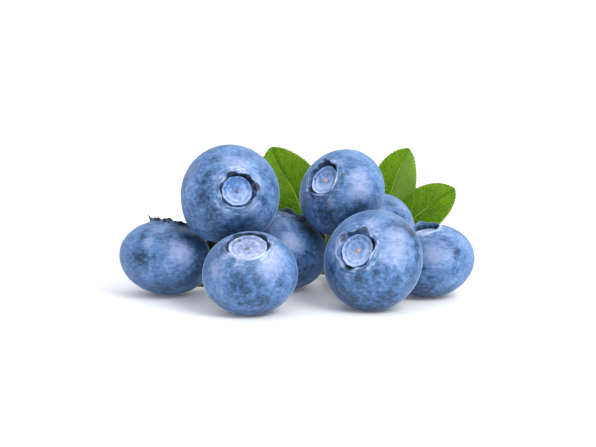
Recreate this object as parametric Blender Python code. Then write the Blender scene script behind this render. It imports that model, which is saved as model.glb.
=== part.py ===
"""A cut blueberry sprig lying on a surface.

Eight berries are heaped on each other, six on the surface and two on top. They hang on
three green racemes, which grow from a woody twig behind the heap. Three leaves stand up
from the same twig. +X runs along the heap, +Y points away from its front, +Z is up, and
the origin is at the middle of the sprig's footprint. Sizes below are in millimetres.
"""
import math
from collections import namedtuple

import bmesh
import bpy
from mathutils import Matrix, Vector

MM = 0.001
GAP = 0.3                 # clear space between neighbouring pieces
REST_DEPTH = 0.15         # how far a berry that lies on the surface is flattened there
OBLATENESS = 0.80         # a berry's height over its width
DIMPLE_DEPTH = 0.05       # of the stem scar, as a share of the berry's radius
LOBES = 5
STEPS_PER_LOBE = 4
BEND_END = 0.65           # share of the way from stem to crown where the bend has faded

TWIG_RADII = (1.25, 1.2, 1.15, 1.1, 1.0, 0.6)
RACEME_RADII = (0.65, 0.55, 0.5, 0.5, 0.45)
PEDICEL_RADII = (0.5, 0.4, 0.36, 0.4)
TUBE_POINTS = 4           # points along a stalk between two of its route's points

LEAF_THICKNESS = 0.35
MIDRIB_RADIUS = 0.35
PETIOLE_SHARE = 0.14      # of the leaf's length
WIDEST_AT = 0.50          # share of the blade, from its base, where it is widest
LEAF_STATIONS = 15
HALF_STEPS = 3            # points from the midrib to a margin

# A berry lies on the surface unless it has a height. Its crown and scar are directions
# from its centre: the calyx crown's, and that of the scar where its stalk joins it. The
# crown's rim, lobe height and flare are shares of the berry's radius.
Berry = namedtuple("Berry", "x y height radius crown scar rim lobe flare")
BERRIES = {
    "left": Berry(-22.4, -0.2, None, 7.8, (0.17, 0.25, 0.95), (0.55, 0.35, -0.76), 0.44, 0.13, 0.04),
    "top_left": Berry(-11.3, -3.4, 17.7, 8.3, (0.23, -0.94, 0.25), (0.10, 0.98, -0.10), 0.40, 0.07, 0.04),
    "front_left": Berry(-7.8, -14.4, None, 7.8, (-0.06, -0.46, 0.89), (-0.20, 0.75, -0.63), 0.46, 0.04, 0.01),
    "middle": Berry(-3.1, 4.7, None, 8.2, (0.27, 0.12, 0.96), (0.00, 0.65, -0.76), 0.37, 0.06, 0.01),
    "top_right": Berry(7.4, 1.5, 17.1, 7.65, (-0.57, -0.64, 0.52), (0.45, 0.89, 0.08), 0.40, 0.08, 0.05),
    "front_right": Berry(12.3, -11.5, None, 8.45, (-0.47, -0.77, 0.44), (0.00, 0.80, -0.60), 0.42, 0.08, 0.06),
    "back_right": Berry(13.25, 12.6, None, 7.9, (-0.75, -0.45, 0.48), (0.15, 0.75, -0.65), 0.40, 0.07, 0.04),
    "right": Berry(22.3, -1.0, None, 7.5, (-0.19, -0.12, 0.97), (-0.60, 0.20, -0.77), 0.37, 0.10, 0.03),
}

TWIG_ROUTE = ((-19.5, 24.3, 1.35), (-12.0, 23.7, 1.3), (-4.0, 23.3, 1.4),
              (3.0, 23.5, 1.5), (9.5, 23.4, 1.9), (15.5, 22.6, 2.7))

# A stalk starts on the side of its parent, at a share of the parent's route, and goes on
# through points chosen by hand.
Stalk = namedtuple("Stalk", "parent share route")
RACEMES = {
    "left": Stalk("twig", 0.28, ((-10.6, 17.5, 5.6), (-12.6, 12.5, 8.2), (-16.0, 7.3, 8.5),
                                 (-14.9, 3.6, 6.4), (-13.2, 0.4, 4.7), (-11.9, -3.6, 3.1))),
    "back": Stalk("twig", 0.61, ((4.6, 20.9, 3.4), (5.25, 19.0, 6.2), (5.9, 16.4, 9.8),
                                 (5.6, 14.0, 12.8))),
    "right": Stalk("twig", 0.70, ((5.9, 17.0, 1.4), (5.5, 10.8, 1.2), (6.3, 4.5, 1.7),
                                  (7.2, -0.8, 2.4))),
}
PEDICELS = {
    "left": Stalk("raceme_left", 0.72, ((-14.0, 4.6, 3.2), (-15.4, 4.2, 0.9))),
    "top_left": Stalk("raceme_left", 0.36, ((-10.8, 10.0, 13.0), (-10.0, 6.8, 16.6))),
    "front_left": Stalk("raceme_left", 1.0, ((-10.8, -6.2, 2.2),)),
    "middle": Stalk("raceme_right", 0.38, ((1.0, 14.0, 0.8), (-1.8, 12.2, 0.9))),
    "top_right": Stalk("raceme_back", 1.0, ((7.6, 12.6, 16.4), (9.4, 10.3, 18.1))),
    "front_right": Stalk("raceme_right", 1.0, ((9.4, -3.4, 2.4),)),
    "back_right": Stalk("raceme_right", 0.18, ((9.0, 19.2, 1.2), (11.8, 19.4, 1.6))),
    "right": Stalk("raceme_right", 0.80, ((9.8, 2.2, 0.9), (14.2, 1.2, 0.8))),
}

# A leaf's route runs up its midrib from the twig to its tip. Its upper face looks along
# facing, and its halves rise from the midrib by the fold.
Leaf = namedtuple("Leaf", "share half_width fold facing route")
LEAVES = {
    "left": Leaf(0.655, 5.0, 12.0, (0.10, -0.95, 0.30),
                 ((2.6, 22.5, 6.6), (0.9, 22.1, 10.1), (-0.9, 22.1, 14.3), (-3.1, 22.8, 18.1),
                  (-4.8, 24.0, 21.6))),
    "upper_right": Leaf(0.83, 4.3, 20.0, (0.00, -0.95, 0.30),
                        ((13.5, 25.0, 6.0), (15.2, 25.4, 9.6), (16.7, 25.7, 13.4),
                         (18.1, 26.1, 17.4), (19.8, 26.9, 21.0))),
    "right": Leaf(0.945, 4.05, 14.0, (-0.10, -0.90, 0.42),
                  ((16.7, 22.2, 5.6), (19.4, 22.0, 8.1), (22.4, 22.2, 10.6), (25.2, 22.8, 12.6),
                   (27.9, 23.8, 14.2))),
}

SKIN_BLUE = (0.13, 0.20, 0.42)
STALK_GREEN = (0.26, 0.33, 0.08)
BARK_BROWN = (0.20, 0.12, 0.06)
LEAF_GREEN = (0.12, 0.28, 0.02)


def clear_scene():
    """Remove every object of the scene."""
    for obj in list(bpy.data.objects):
        bpy.data.objects.remove(obj)


def make_material(name, colour, roughness):
    """Return a Principled material of one colour."""
    material = bpy.data.materials.new(name)
    material.use_nodes = True
    shader = material.node_tree.nodes["Principled BSDF"]
    shader.inputs["Base Color"].default_value = (*colour, 1.0)
    shader.inputs["Roughness"].default_value = roughness
    shader.inputs["Metallic"].default_value = 0.0
    return material


def add_object(name, data, material, place, parent):
    """Link an object that holds data, with its own material, at place in millimetres."""
    data.materials.append(material)
    obj = bpy.data.objects.new(name, data)
    obj.location = place * MM
    obj.parent = parent
    bpy.context.scene.collection.objects.link(obj)
    return obj


def smoothstep(share):
    """Ease a share from 0 to 1."""
    share = min(max(share, 0.0), 1.0)
    return share * share * (3.0 - 2.0 * share)


# Berries

def support_height(radius, crown):
    """Height of a tilted berry's centre over its lowest point."""
    return radius * math.sqrt(1.0 - (1.0 - OBLATENESS ** 2) * crown.z ** 2)


def berry_centre(berry):
    """Centre of a berry, which lies on the surface unless it has a height."""
    height = berry.height
    if height is None:
        height = support_height(berry.radius, Vector(berry.crown).normalized()) - REST_DEPTH
    return Vector((berry.x, berry.y, height))


def crown_axes(crown):
    """Return a turning matrix whose third axis is the crown's direction."""
    return crown.to_track_quat("Z", "Y").to_matrix()


def flatten(direction, crown, radius):
    """Take a direction of the unit sphere to the oblate berry, from its centre."""
    along = direction.dot(crown)
    return (direction - (1.0 - OBLATENESS) * along * crown) * radius


def scar_point(berry):
    """Middle of the stem scar, on the berry's outline."""
    crown = Vector(berry.crown).normalized()
    scar = Vector(berry.scar).normalized()
    return berry_centre(berry) + flatten(scar, crown, berry.radius)


def body_rings(berry):
    """Rings from the stem scar up to the crown's foot: angle from the scar, and scale."""
    dimple = 1.0 - DIMPLE_DEPTH
    last = 180.0 - math.degrees(math.asin(1.15 * berry.rim))
    rings = [(5.0, dimple), (9.0, 1.0)]
    rings += [(angle, 1.0) for angle in (20, 34, 49, 64, 79, 94, 109, 124, 138, last)]
    return rings


def crown_rings(berry):
    """Rings of the crown from its foot inwards: radius, height, lobe height and flare."""
    rim, lobe, flare = berry.rim, berry.lobe, berry.flare
    shoulder = OBLATENESS * math.sqrt(1.0 - rim ** 2)
    return [
        (1.03 * rim, shoulder - 0.008, 0.0, 0.0),
        (rim, shoulder + 0.012, lobe, flare),
        (rim - 0.04, shoulder + 0.007, lobe, flare),
        (0.85 * rim, shoulder - 0.060, 0.0, 0.0),
        (0.70 * rim, shoulder - 0.045, 0.0, 0.0),
        (0.27 * rim, shoulder - 0.040, 0.0, 0.0),
        (0.12 * rim, shoulder - 0.065, 0.0, 0.0),
    ]


def body_point(angle, turn, scale, berry, crown, scar):
    """A point of the berry's body. The grid's pole bends over from the axis to the scar."""
    axes = crown_axes(crown)
    ring = Vector((math.sin(angle) * math.cos(turn), math.sin(angle) * math.sin(turn),
                   -math.cos(angle)))
    bend = (-crown).rotation_difference(scar)
    fade = 1.0 - smoothstep(angle / (BEND_END * math.pi))
    bent = Matrix.Rotation(bend.angle * fade, 3, bend.axis) @ (axes @ ring)
    return flatten(bent, crown, berry.radius) * scale


def crown_point(ring, turn, berry, crown):
    """A point of the crown, whose rim rises and spreads into five lobes."""
    radius, height, tip, flare = ring
    lobe = abs(math.cos(LOBES * turn / 2.0))
    radius = (radius + flare * lobe) * berry.radius
    height = (height + tip * lobe) * berry.radius
    local = Vector((radius * math.cos(turn), radius * math.sin(turn), height))
    return crown_axes(crown) @ local


def berry_points(berry):
    """Rings of points from the stem scar to the crown's middle, from the berry's centre."""
    crown = Vector(berry.crown).normalized()
    scar = Vector(berry.scar).normalized()
    count = LOBES * STEPS_PER_LOBE
    turns = [2.0 * math.pi * index / count for index in range(count)]
    rings = [[body_point(math.radians(angle), turn, scale, berry, crown, scar) for turn in turns]
             for angle, scale in body_rings(berry)]
    rings += [[crown_point(ring, turn, berry, crown) for turn in turns]
              for ring in crown_rings(berry)]
    return rings


def loft(bm, rings):
    """Join rings of equal count into a closed skin, with a fan over each end."""
    rows = [[bm.verts.new(point * MM) for point in ring] for ring in rings]
    count = len(rows[0])
    for low, high in zip(rows, rows[1:]):
        for index in range(count):
            after = (index + 1) % count
            bm.faces.new((low[index], low[after], high[after], high[index]))
    for row in (rows[0], rows[-1]):
        middle = bm.verts.new(sum((vert.co for vert in row), Vector()) / count)
        for index in range(count):
            bm.faces.new((row[index], row[(index + 1) % count], middle))
    bmesh.ops.recalc_face_normals(bm, faces=bm.faces)


def cut_at_surface(bm, centre):
    """Cut off what lies below the surface and close the cut with one flat face."""
    floor = Vector((0.0, 0.0, -centre.z * MM))
    everything = bm.verts[:] + bm.edges[:] + bm.faces[:]
    cut = bmesh.ops.bisect_plane(bm, geom=everything, plane_co=floor,
                                 plane_no=(0.0, 0.0, -1.0), clear_outer=True)
    edges = [item for item in cut["geom_cut"] if isinstance(item, bmesh.types.BMEdge)]
    bmesh.ops.holes_fill(bm, edges=edges)
    bmesh.ops.recalc_face_normals(bm, faces=bm.faces)


def mesh_from(bm, name):
    """Write a bmesh to a new mesh, shaded smooth with sharp folds."""
    mesh = bpy.data.meshes.new(name)
    bm.to_mesh(mesh)
    bm.free()
    mesh.shade_smooth()
    mesh.set_sharp_from_angle(angle=math.radians(40.0))
    return mesh


def add_berry(name, berry, parent):
    """Add one berry, grown as one piece with its crown."""
    centre = berry_centre(berry)
    bm = bmesh.new()
    loft(bm, berry_points(berry))
    if berry.height is None:
        cut_at_surface(bm, centre)
    material = make_material(name + "_skin", SKIN_BLUE, 0.55)
    return add_object(name, mesh_from(bm, name), material, centre, parent)


# Stalks

def smooth_route(points, steps):
    """Points along a smooth curve through the route's own points."""
    path = [2 * points[0] - points[1], *points, 2 * points[-1] - points[-2]]
    route = []
    for index in range(1, len(path) - 2):
        before, start, end, after = path[index - 1:index + 3]
        for step in range(steps):
            t = step / steps
            route.append(0.5 * (2 * start + (end - before) * t
                                + (2 * before - 5 * start + 4 * end - after) * t ** 2
                                + (3 * start - before - 3 * end + after) * t ** 3))
    route.append(points[-1])
    return route


def point_at(route, share):
    """Point and direction at a share of a route's length."""
    lengths = [(end - start).length for start, end in zip(route, route[1:])]
    left = share * sum(lengths)
    for start, end, length in zip(route, route[1:], lengths):
        if left <= length:
            return start.lerp(end, left / length), (end - start).normalized()
        left -= length
    return route[-1], (route[-1] - route[-2]).normalized()


def side_of(route, share, radius, target, own_radius):
    """Point just off a stalk's side, where a branch towards target starts."""
    point, direction = point_at(route, share)
    away = target - point
    lean = abs(away.normalized().dot(direction))
    if share == 1.0:
        return point + away.normalized() * (GAP + 0.6 * own_radius)
    away -= away.dot(direction) * direction
    return point + away.normalized() * (radius + GAP + own_radius * lean)


def radius_at(radii, share):
    """Radius of a tapering stalk at a share of its length."""
    place = share * (len(radii) - 1)
    low = min(int(place), len(radii) - 2)
    return radii[low] + (radii[low + 1] - radii[low]) * (place - low)


def add_tube(name, route, radii, material, parent):
    """Add a round stalk along a route, tapering through its radii."""
    curve = bpy.data.curves.new(name, "CURVE")
    curve.dimensions = "3D"
    curve.bevel_depth = MM
    curve.bevel_resolution = 2
    curve.use_fill_caps = True
    spline = curve.splines.new("POLY")
    spline.points.add(len(route) - 1)
    for index, (item, point) in enumerate(zip(spline.points, route)):
        item.co = (*(point * MM), 1.0)
        item.radius = radius_at(radii, index / (len(route) - 1))
    return add_object(name, curve, material, Vector(), parent)


def stalk_route(stalk, parents, own_radius, end=None):
    """Smooth route of a branch: off its parent's side, along its points, to its end."""
    parent_route, parent_radii = parents[stalk.parent]
    points = [Vector(point) for point in stalk.route]
    radius = radius_at(parent_radii, stalk.share)
    start = side_of(parent_route, stalk.share, radius, points[0], own_radius)
    ends = [] if end is None else [end]
    return smooth_route([start, *points, *ends], TUBE_POINTS)


def add_stalks(parent):
    """Add the twig, its racemes and a pedicel to each berry. Return the twig's route."""
    twig_route = smooth_route([Vector(point) for point in TWIG_ROUTE], TUBE_POINTS)
    parents = {"twig": (twig_route, TWIG_RADII)}
    add_tube("twig", twig_route, TWIG_RADII, make_material("twig_bark", BARK_BROWN, 0.8), parent)
    for name, stalk in RACEMES.items():
        node = "raceme_" + name
        route = stalk_route(stalk, parents, RACEME_RADII[0])
        parents[node] = (route, RACEME_RADII)
        material = make_material(node + "_skin", STALK_GREEN, 0.6)
        add_tube(node, route, RACEME_RADII, material, parent)
    for name, stalk in PEDICELS.items():
        node = "pedicel_" + name
        berry = BERRIES[name]
        scar = scar_point(berry)
        before = Vector(stalk.route[-1])
        end = scar + (before - scar).normalized() * (GAP + 0.7 * PEDICEL_RADII[-1])
        route = stalk_route(stalk, parents, PEDICEL_RADII[0], end)
        material = make_material(node + "_skin", STALK_GREEN, 0.6)
        add_tube(node, route, PEDICEL_RADII, material, parent)
    return twig_route


# Leaves

def blade_half_width(share):
    """Half width of the blade, as a share of its widest, at a share of its length."""
    if share < WIDEST_AT:
        return (1.0 - (1.0 - share / WIDEST_AT) ** 1.9) ** 1.15
    return max(1.0 - ((share - WIDEST_AT) / (1.0 - WIDEST_AT)) ** 2.4, 0.0) ** 0.8


def leaf_station(share, half_width):
    """Half width and midrib half thickness of the leaf at a share of its whole length."""
    blade = (share - PETIOLE_SHARE) / (1.0 - PETIOLE_SHARE)
    rib = MIDRIB_RADIUS * (1.25 - 0.75 * share)
    if blade <= 0.0:
        return rib, rib
    return max(rib, half_width * blade_half_width(blade)), rib


def leaf_section(centre, across, face, half_width, rib, fold):
    """Closed ring of points round the leaf: over its upper face and back underneath."""
    upper, lower = [], []
    steps = range(-HALF_STEPS, HALF_STEPS + 1)
    for step in steps:
        share = step / HALF_STEPS
        rise = abs(share) * half_width * math.sin(fold)
        side = share * half_width * math.cos(fold)
        half = LEAF_THICKNESS / 2.0
        middle = centre + across * side + face * rise
        under = max(rib if step == 0 else half, half)
        upper.append(middle + face * half)
        lower.append(middle - face * under)
    return upper + lower[::-1]


def leaf_rings(leaf, start):
    """Sections of the leaf from the foot of its petiole to its tip."""
    route = smooth_route([start] + [Vector(point) for point in leaf.route], 2 * TUBE_POINTS)
    facing = Vector(leaf.facing).normalized()
    rings = []
    for index in range(LEAF_STATIONS):
        share = index / (LEAF_STATIONS - 1)
        share = 1.0 - (1.0 - share) ** 1.25
        centre, direction = point_at(route, share)
        half_width, rib = leaf_station(share, leaf.half_width)
        across = direction.cross(facing).normalized()
        face = across.cross(direction).normalized()
        fold = math.radians(leaf.fold) * smoothstep((share - PETIOLE_SHARE) / 0.3)
        rings.append(leaf_section(centre, across, face, half_width, rib, fold))
    return rings


def add_leaf(name, leaf, twig_route, parent):
    """Add one leaf, its blade and petiole in one piece."""
    radius = radius_at(TWIG_RADII, leaf.share)
    start = side_of(twig_route, leaf.share, radius, Vector(leaf.route[0]), 1.25 * MIDRIB_RADIUS)
    bm = bmesh.new()
    loft(bm, leaf_rings(leaf, start))
    material = make_material(name + "_blade", LEAF_GREEN, 0.5)
    return add_object(name, mesh_from(bm, name), material, Vector(), parent)


# Placing

def piece_points(piece, depsgraph):
    """Points of a piece's finished surface, in the world."""
    evaluated = piece.evaluated_get(depsgraph)
    points = [piece.matrix_world @ vertex.co for vertex in evaluated.to_mesh().vertices]
    evaluated.to_mesh_clear()
    return points


def centre_footprint(sprig):
    """Move the sprig so that the middle of its footprint is at the origin."""
    bpy.context.view_layer.update()
    depsgraph = bpy.context.evaluated_depsgraph_get()
    points = [point for piece in sprig.children for point in piece_points(piece, depsgraph)]
    low = [min(point[axis] for point in points) for axis in range(2)]
    high = [max(point[axis] for point in points) for axis in range(2)]
    sprig.location = (-(low[0] + high[0]) / 2.0, -(low[1] + high[1]) / 2.0, 0.0)
    bpy.context.view_layer.update()


def build_sprig():
    """Build the whole sprig under one empty."""
    clear_scene()
    sprig = bpy.data.objects.new("sprig", None)
    bpy.context.scene.collection.objects.link(sprig)
    for name, berry in BERRIES.items():
        add_berry("berry_" + name, berry, sprig)
    twig_route = add_stalks(sprig)
    for name, leaf in LEAVES.items():
        add_leaf("leaf_" + name, leaf, twig_route, sprig)
    centre_footprint(sprig)


build_sprig()
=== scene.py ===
# %% [markdown]
# # A blueberry sprig, from its frame to its finish
#
# Eight blueberries are heaped on each other in front of a cut twig, and three leaves stand
# up behind them. The frame that is loaded here holds a plain solid for each berry, leaf
# and stalk. Each gets a detailed piece in the same place, and a finish made of nodes.
# Lengths are worked out in millimetres and turned into Blender's metres at the end.

# %% Load the frame
import math
from collections import namedtuple

import bpy
import numpy as np
from mathutils import Matrix, Vector


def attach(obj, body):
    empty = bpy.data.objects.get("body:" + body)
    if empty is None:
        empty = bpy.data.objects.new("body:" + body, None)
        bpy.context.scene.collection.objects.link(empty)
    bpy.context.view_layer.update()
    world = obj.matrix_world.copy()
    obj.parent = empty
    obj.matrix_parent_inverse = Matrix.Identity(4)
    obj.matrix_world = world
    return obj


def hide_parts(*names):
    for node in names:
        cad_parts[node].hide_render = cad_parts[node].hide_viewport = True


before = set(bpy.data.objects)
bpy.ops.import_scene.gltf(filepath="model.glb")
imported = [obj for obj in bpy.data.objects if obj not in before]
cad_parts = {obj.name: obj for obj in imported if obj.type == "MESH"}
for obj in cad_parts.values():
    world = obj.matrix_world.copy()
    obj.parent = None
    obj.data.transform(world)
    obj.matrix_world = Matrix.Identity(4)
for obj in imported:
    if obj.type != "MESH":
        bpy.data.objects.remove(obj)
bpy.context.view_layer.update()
MM = 0.001
print("solids in the frame:", len(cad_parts))

# %% [markdown]
# ## The camera comes first
#
# Every choice of shape and colour is judged through the camera, so it is set before
# anything is made. The berries are seen from a little above, with a long lens, so that
# they keep their shapes from the middle of the picture to its edges.

# %% Set the camera
CAMERA_ELEVATION = math.radians(10.1)
CAMERA_DISTANCE = 0.4
CAMERA_TARGET = Vector((0.000209, -0.002627, 0.01212))
CAMERA_LENS = 143.5
NEAREST_SEEN = 0.01
SEEN_RIGHT = np.array((1.0, 0.0, 0.0))
SEEN_UP = np.array((0.0, math.sin(CAMERA_ELEVATION), math.cos(CAMERA_ELEVATION)))
TO_CAMERA = np.array((0.0, -math.cos(CAMERA_ELEVATION), math.sin(CAMERA_ELEVATION)))

camera_data = bpy.data.cameras.new("camera")
camera_data.lens = CAMERA_LENS
camera_data.clip_start = NEAREST_SEEN
camera = bpy.data.objects.new("camera", camera_data)
camera.location = CAMERA_TARGET + Vector(TO_CAMERA) * CAMERA_DISTANCE
camera.rotation_euler = (math.pi / 2 - CAMERA_ELEVATION, 0.0, 0.0)
bpy.context.scene.collection.objects.link(camera)
bpy.context.scene.camera = camera
print("camera at", [round(value, 3) for value in camera.location])

# %% [markdown]
# ## A ball whose rings can be moved
#
# Berries, leaves and stalks are all closed skins that can be drawn as a row of rings. A
# loft could make them, but its ends have to be closed by hand. A UV sphere already has
# closed poles, rings in between and faces that point outwards, so each piece starts as a
# sphere whose rings are then moved, as a potter draws out a ball of clay.

# %% Helpers for rings
FULL_TURN = 6.28          # in radians, for random starts of waves


def deselect_all():
    """Deselect everything, because an operator acts on all that is selected."""
    bpy.ops.object.select_all(action="DESELECT")


def select_only(*objects):
    """Select these objects and no others, and make the last one active."""
    deselect_all()
    for obj in objects:
        obj.select_set(True)
    bpy.context.view_layer.objects.active = objects[-1]


def add_ball(name, turns, rings):
    """Add a sphere at the origin. Return it with each vertex's ring, from 0, and turn."""
    deselect_all()
    bpy.ops.mesh.primitive_uv_sphere_add(segments=turns, ring_count=rings, radius=1.0)
    ball = bpy.context.object
    ball.name = ball.data.name = name
    points = np.empty(len(ball.data.vertices) * 3)
    ball.data.vertices.foreach_get("co", points)
    points = points.reshape(-1, 3)
    height = np.clip(-points[:, 2], -1.0, 1.0)
    ring = np.rint(np.arccos(height) / math.pi * rings).astype(int)
    return ball, ring, np.arctan2(points[:, 1], points[:, 0])


def place_points(obj, points):
    """Move an object's vertices to points in millimetres, and shade it smooth."""
    obj.data.vertices.foreach_set("co", (points * MM).ravel())
    obj.data.update()
    select_only(obj)
    bpy.ops.object.shade_smooth()


def store_mask(obj, name, values):
    """Keep a number for each vertex, which a material can read by its name."""
    layer = obj.data.attributes.new(name, "FLOAT", "POINT")
    layer.data.foreach_set("value", np.clip(values, 0.0, 1.0).astype(np.float32))


def unit(vector):
    """A direction of length 1."""
    return np.array(Vector(vector).normalized())


def describe(obj):
    """Print an object's faces and size."""
    print(obj.name, len(obj.data.polygons), "faces, mm:",
          [round(value / MM, 1) for value in obj.dimensions])


def band(share, middle, width):
    """Soft hump round a place."""
    return np.exp(-((share - middle) / width) ** 2)


def ripples(draw, low, high, turn, counts):
    """Sum of waves round a ring, each with its own random height and start."""
    return sum(draw.uniform(low, high) * np.sin(count * turn + draw.uniform(0.0, FULL_TURN))
               for count in counts)


def ease(share):
    """Smooth step from 0 to 1."""
    share = np.clip(share, 0.0, 1.0)
    return share * share * (3.0 - 2.0 * share)


def smooth_curve(points, steps):
    """Catmull-Rom curve through points, with steps between each two of them."""
    points = np.asarray(points, dtype=float)
    path = np.vstack((2 * points[0] - points[1], points, 2 * points[-1] - points[-2]))
    t = (np.arange(steps) / steps)[:, None]
    parts = []
    for before, start, end, after in zip(path, path[1:], path[2:], path[3:]):
        parts.append(0.5 * (2 * start + (end - before) * t
                            + (2 * before - 5 * start + 4 * end - after) * t ** 2
                            + (3 * start - before - 3 * end + after) * t ** 3))
    return np.vstack(parts + [points[-1:]])


print("ring helpers ready")

# %% [markdown]
# ## Where the berries are
#
# Each row has the berry's centre and radius, the direction of its calyx crown, and that
# of the scar where its stalk joins. Blueberries are flatter than they are wide. Then come
# the crown's numbers: its rim as a share of the radius, the disc as a share of the rim,
# the length of the lobes as a share of the radius, how far they rise over the rim's plane
# in degrees, how high the rim stands between them, and how deep the disc is sunk. Three
# strengths from 0 to 1 say how dark the ditch is painted, for its dry husk and painted
# shade, how dark the lobes are, and how pale the lip is.
# Each lobe has an angle and a size. The angle is as seen from the front, or from above
# when the crown looks up.

# %% Rows of berries
Berry = namedtuple("Berry", "centre radius crown scar rim disc lobe lean collar depth "
                   "husk_in husk_out lip lobes")
BERRIES = {
    "left": Berry((-22.191, -2.827, 6.249), 7.8, (0.17, 0.25, 0.95), (0.55, 0.35, -0.76),
                  0.44, 0.80, 0.15, 50, 0.40, 0.06, 1.0, 1.0, 0.6,
                  ((180, 1.1), (98, 1.5), (48, 1.2), (-10, 0.9), (-68, 0.6), (-125, 0.6))),
    "top_left": Berry((-11.091, -6.027, 17.7), 8.3, (0.23, -0.94, 0.25), (0.10, 0.98, -0.10),
                      0.360, 0.83, 0.090, 15, 0.0, 0.065, 0.14, 0.1, 0.8,
                      ((113, 0.8), (55, 0.5), (8, 1.25), (-50, 0.4), (-133, 0.8), (168, 0.6))),
    "front_left": Berry((-7.591, -17.027, 6.454), 7.8, (-0.06, -0.46, 0.89),
                        (-0.20, 0.75, -0.63), 0.45, 0.90, 0.07, 15, 0.0, 0.015, 0.45, 0.0, 1.0,
                        ((-6, 1.1), (26, 0.6), (141, 0.5), (-172, 1.1), (-138, 0.4), (-97, 0.5))),
    "middle": Berry((-2.891, 2.073, 6.568), 8.2, (0.27, 0.12, 0.96), (0.00, 0.65, -0.76),
                    0.37, 0.80, 0.12, 60, 0.40, 0.07, 0.8, 0.6, 1.0,
                    ((97, 1.2), (155, 0.9), (38, 0.8), (-35, 0.3), (-110, 0.3))),
    "top_right": Berry((7.609, -1.127, 17.1), 7.65, (-0.57, -0.64, 0.52), (0.45, 0.89, 0.08),
                       0.385, 0.86, 0.085, 16, 0.0, 0.040, 0.12, 0.1, 0.9,
                       ((157, 0.5), (82, 1.2), (42, 0.8), (-66, 0.8), (-140, 0.9))),
    "front_right": Berry((12.509, -14.127, 8.002), 8.45, (-0.47, -0.77, 0.44),
                         (0.00, 0.80, -0.60), 0.385, 0.85, 0.080, -6, 0.0, 0.035, 0.10, 0.1, 0.8,
                         ((134, 1.1), (66, 1.2), (17, 1.0), (-60, 0.8), (-114, 0.9), (-170, 1.0))),
    "back_right": Berry((13.459, 9.973, 7.414), 7.9, (-0.75, -0.45, 0.48),
                        (0.15, 0.75, -0.65), 0.40, 0.80, 0.10, 30, 0.1, 0.080, 0.8, 0.5, 0.4,
                        ((150, 1.0), (78, 0.9), (10, 1.0), (-62, 0.8), (-135, 1.0))),
    "right": Berry((22.509, -3.627, 5.935), 7.5, (-0.19, -0.12, 0.97), (-0.60, 0.20, -0.77),
                   0.36, 0.80, 0.08, 55, 0.05, 0.080, 0.3, 0.0, 1.0,
                   ((100, 0.9), (165, 0.5), (20, 0.1), (-60, 0.1), (-130, 0.1))),
}
OBLATENESS = 0.80
print("berries:", len(BERRIES))

# %% [markdown]
# ## The berry's body
#
# A ripe berry is a taut skin, so its body is an oblate ball with a shallow dimple at the
# stem scar and slow, hardly visible swellings. The sphere's lower pole is bent over to
# the scar, so the rings run neatly round both the scar and the crown.

# %% Helpers for the body
TURNS = 180
BODY_RINGS = 62
BEND_END = 0.65           # share of the way from scar to crown where the bend has faded
SCAR_RINGS = 16
SCAR_ZONE = math.radians(16.0)
DIMPLE_DEPTH = 0.045
DIMPLE_ANGLE = math.radians(6.0)
CROWN_FOOT = 1.22         # where the crown starts, as a share of its rim
WAVES = 5
WAVE_RATE = 2.2
SWELL_HEIGHT = 0.007
QUIET_ANGLE = 0.3         # how far from the crown's foot the swellings reach full height


def crown_frame(crown):
    """Turning matrix whose third axis is the crown's direction."""
    return np.array(Vector(crown).normalized().to_track_quat("Z", "Y").to_matrix())


def turn_about(points, axis, angles):
    """Turn each point about one axis by its own angle."""
    cosines, sines = np.cos(angles)[:, None], np.sin(angles)[:, None]
    along = (points @ axis)[:, None] * axis
    return points * cosines + np.cross(axis, points) * sines + along * (1.0 - cosines)


def body_angles(rim):
    """Angle from the stem scar of each body ring, closer together near the scar."""
    last = math.pi - math.asin(CROWN_FOOT * rim)
    index = np.arange(BODY_RINGS + 1)
    return np.interp(index, (0, SCAR_RINGS, BODY_RINGS), (0.0, SCAR_ZONE, last))


def swelling(directions, seed):
    """Slow unevenness over the unit sphere, about -1 to 1."""
    draw = np.random.default_rng(seed)
    total = np.zeros(len(directions))
    for _ in range(WAVES):
        wave = draw.normal(size=3) * WAVE_RATE
        total += np.sin(directions @ wave + draw.uniform(0.0, FULL_TURN))
    return total / WAVES


def body_local(berry, angle, turn, axes, seed, bulges):
    """Points of the body in the crown's frame, from the berry's centre."""
    local = np.column_stack((np.sin(angle) * np.cos(turn), np.sin(angle) * np.sin(turn),
                             -np.cos(angle)))
    scar = axes.T @ unit(berry.scar)
    down = np.array((0.0, 0.0, -1.0))
    axis = np.cross(down, scar)
    bend = math.atan2(np.linalg.norm(axis), down @ scar)
    fade = 1.0 - ease(angle / (BEND_END * math.pi))
    local = turn_about(local, axis / np.linalg.norm(axis), bend * fade)
    quiet = ease((math.pi - math.asin(CROWN_FOOT * berry.rim) - angle) / QUIET_ANGLE)
    swell = SWELL_HEIGHT * swelling(local, seed) + patches(local @ axes.T, bulges)
    scale = 1.0 + swell * quiet
    scale -= DIMPLE_DEPTH * band(angle, 0.0, DIMPLE_ANGLE)
    local[:, 2] *= OBLATENESS
    return local * (berry.radius * scale)[:, None]


print("body helpers ready")

# %% [markdown]
# ## The calyx crown
#
# The crown is what is left of the flower. From the outside in, the skin rises to a thin
# rim that carries five or six papery lobes, drops into a narrow ditch, and climbs again
# to a round, slightly dished disc with the stub of the style in its middle. The disc can
# lie sunk, as in a cup. The crown could be cut from the body with insets and extrusions,
# but the lobes curl over, so it is drawn as one profile: each station has its share of
# the rim's radius, its height, and how much of a lobe it carries.

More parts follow.
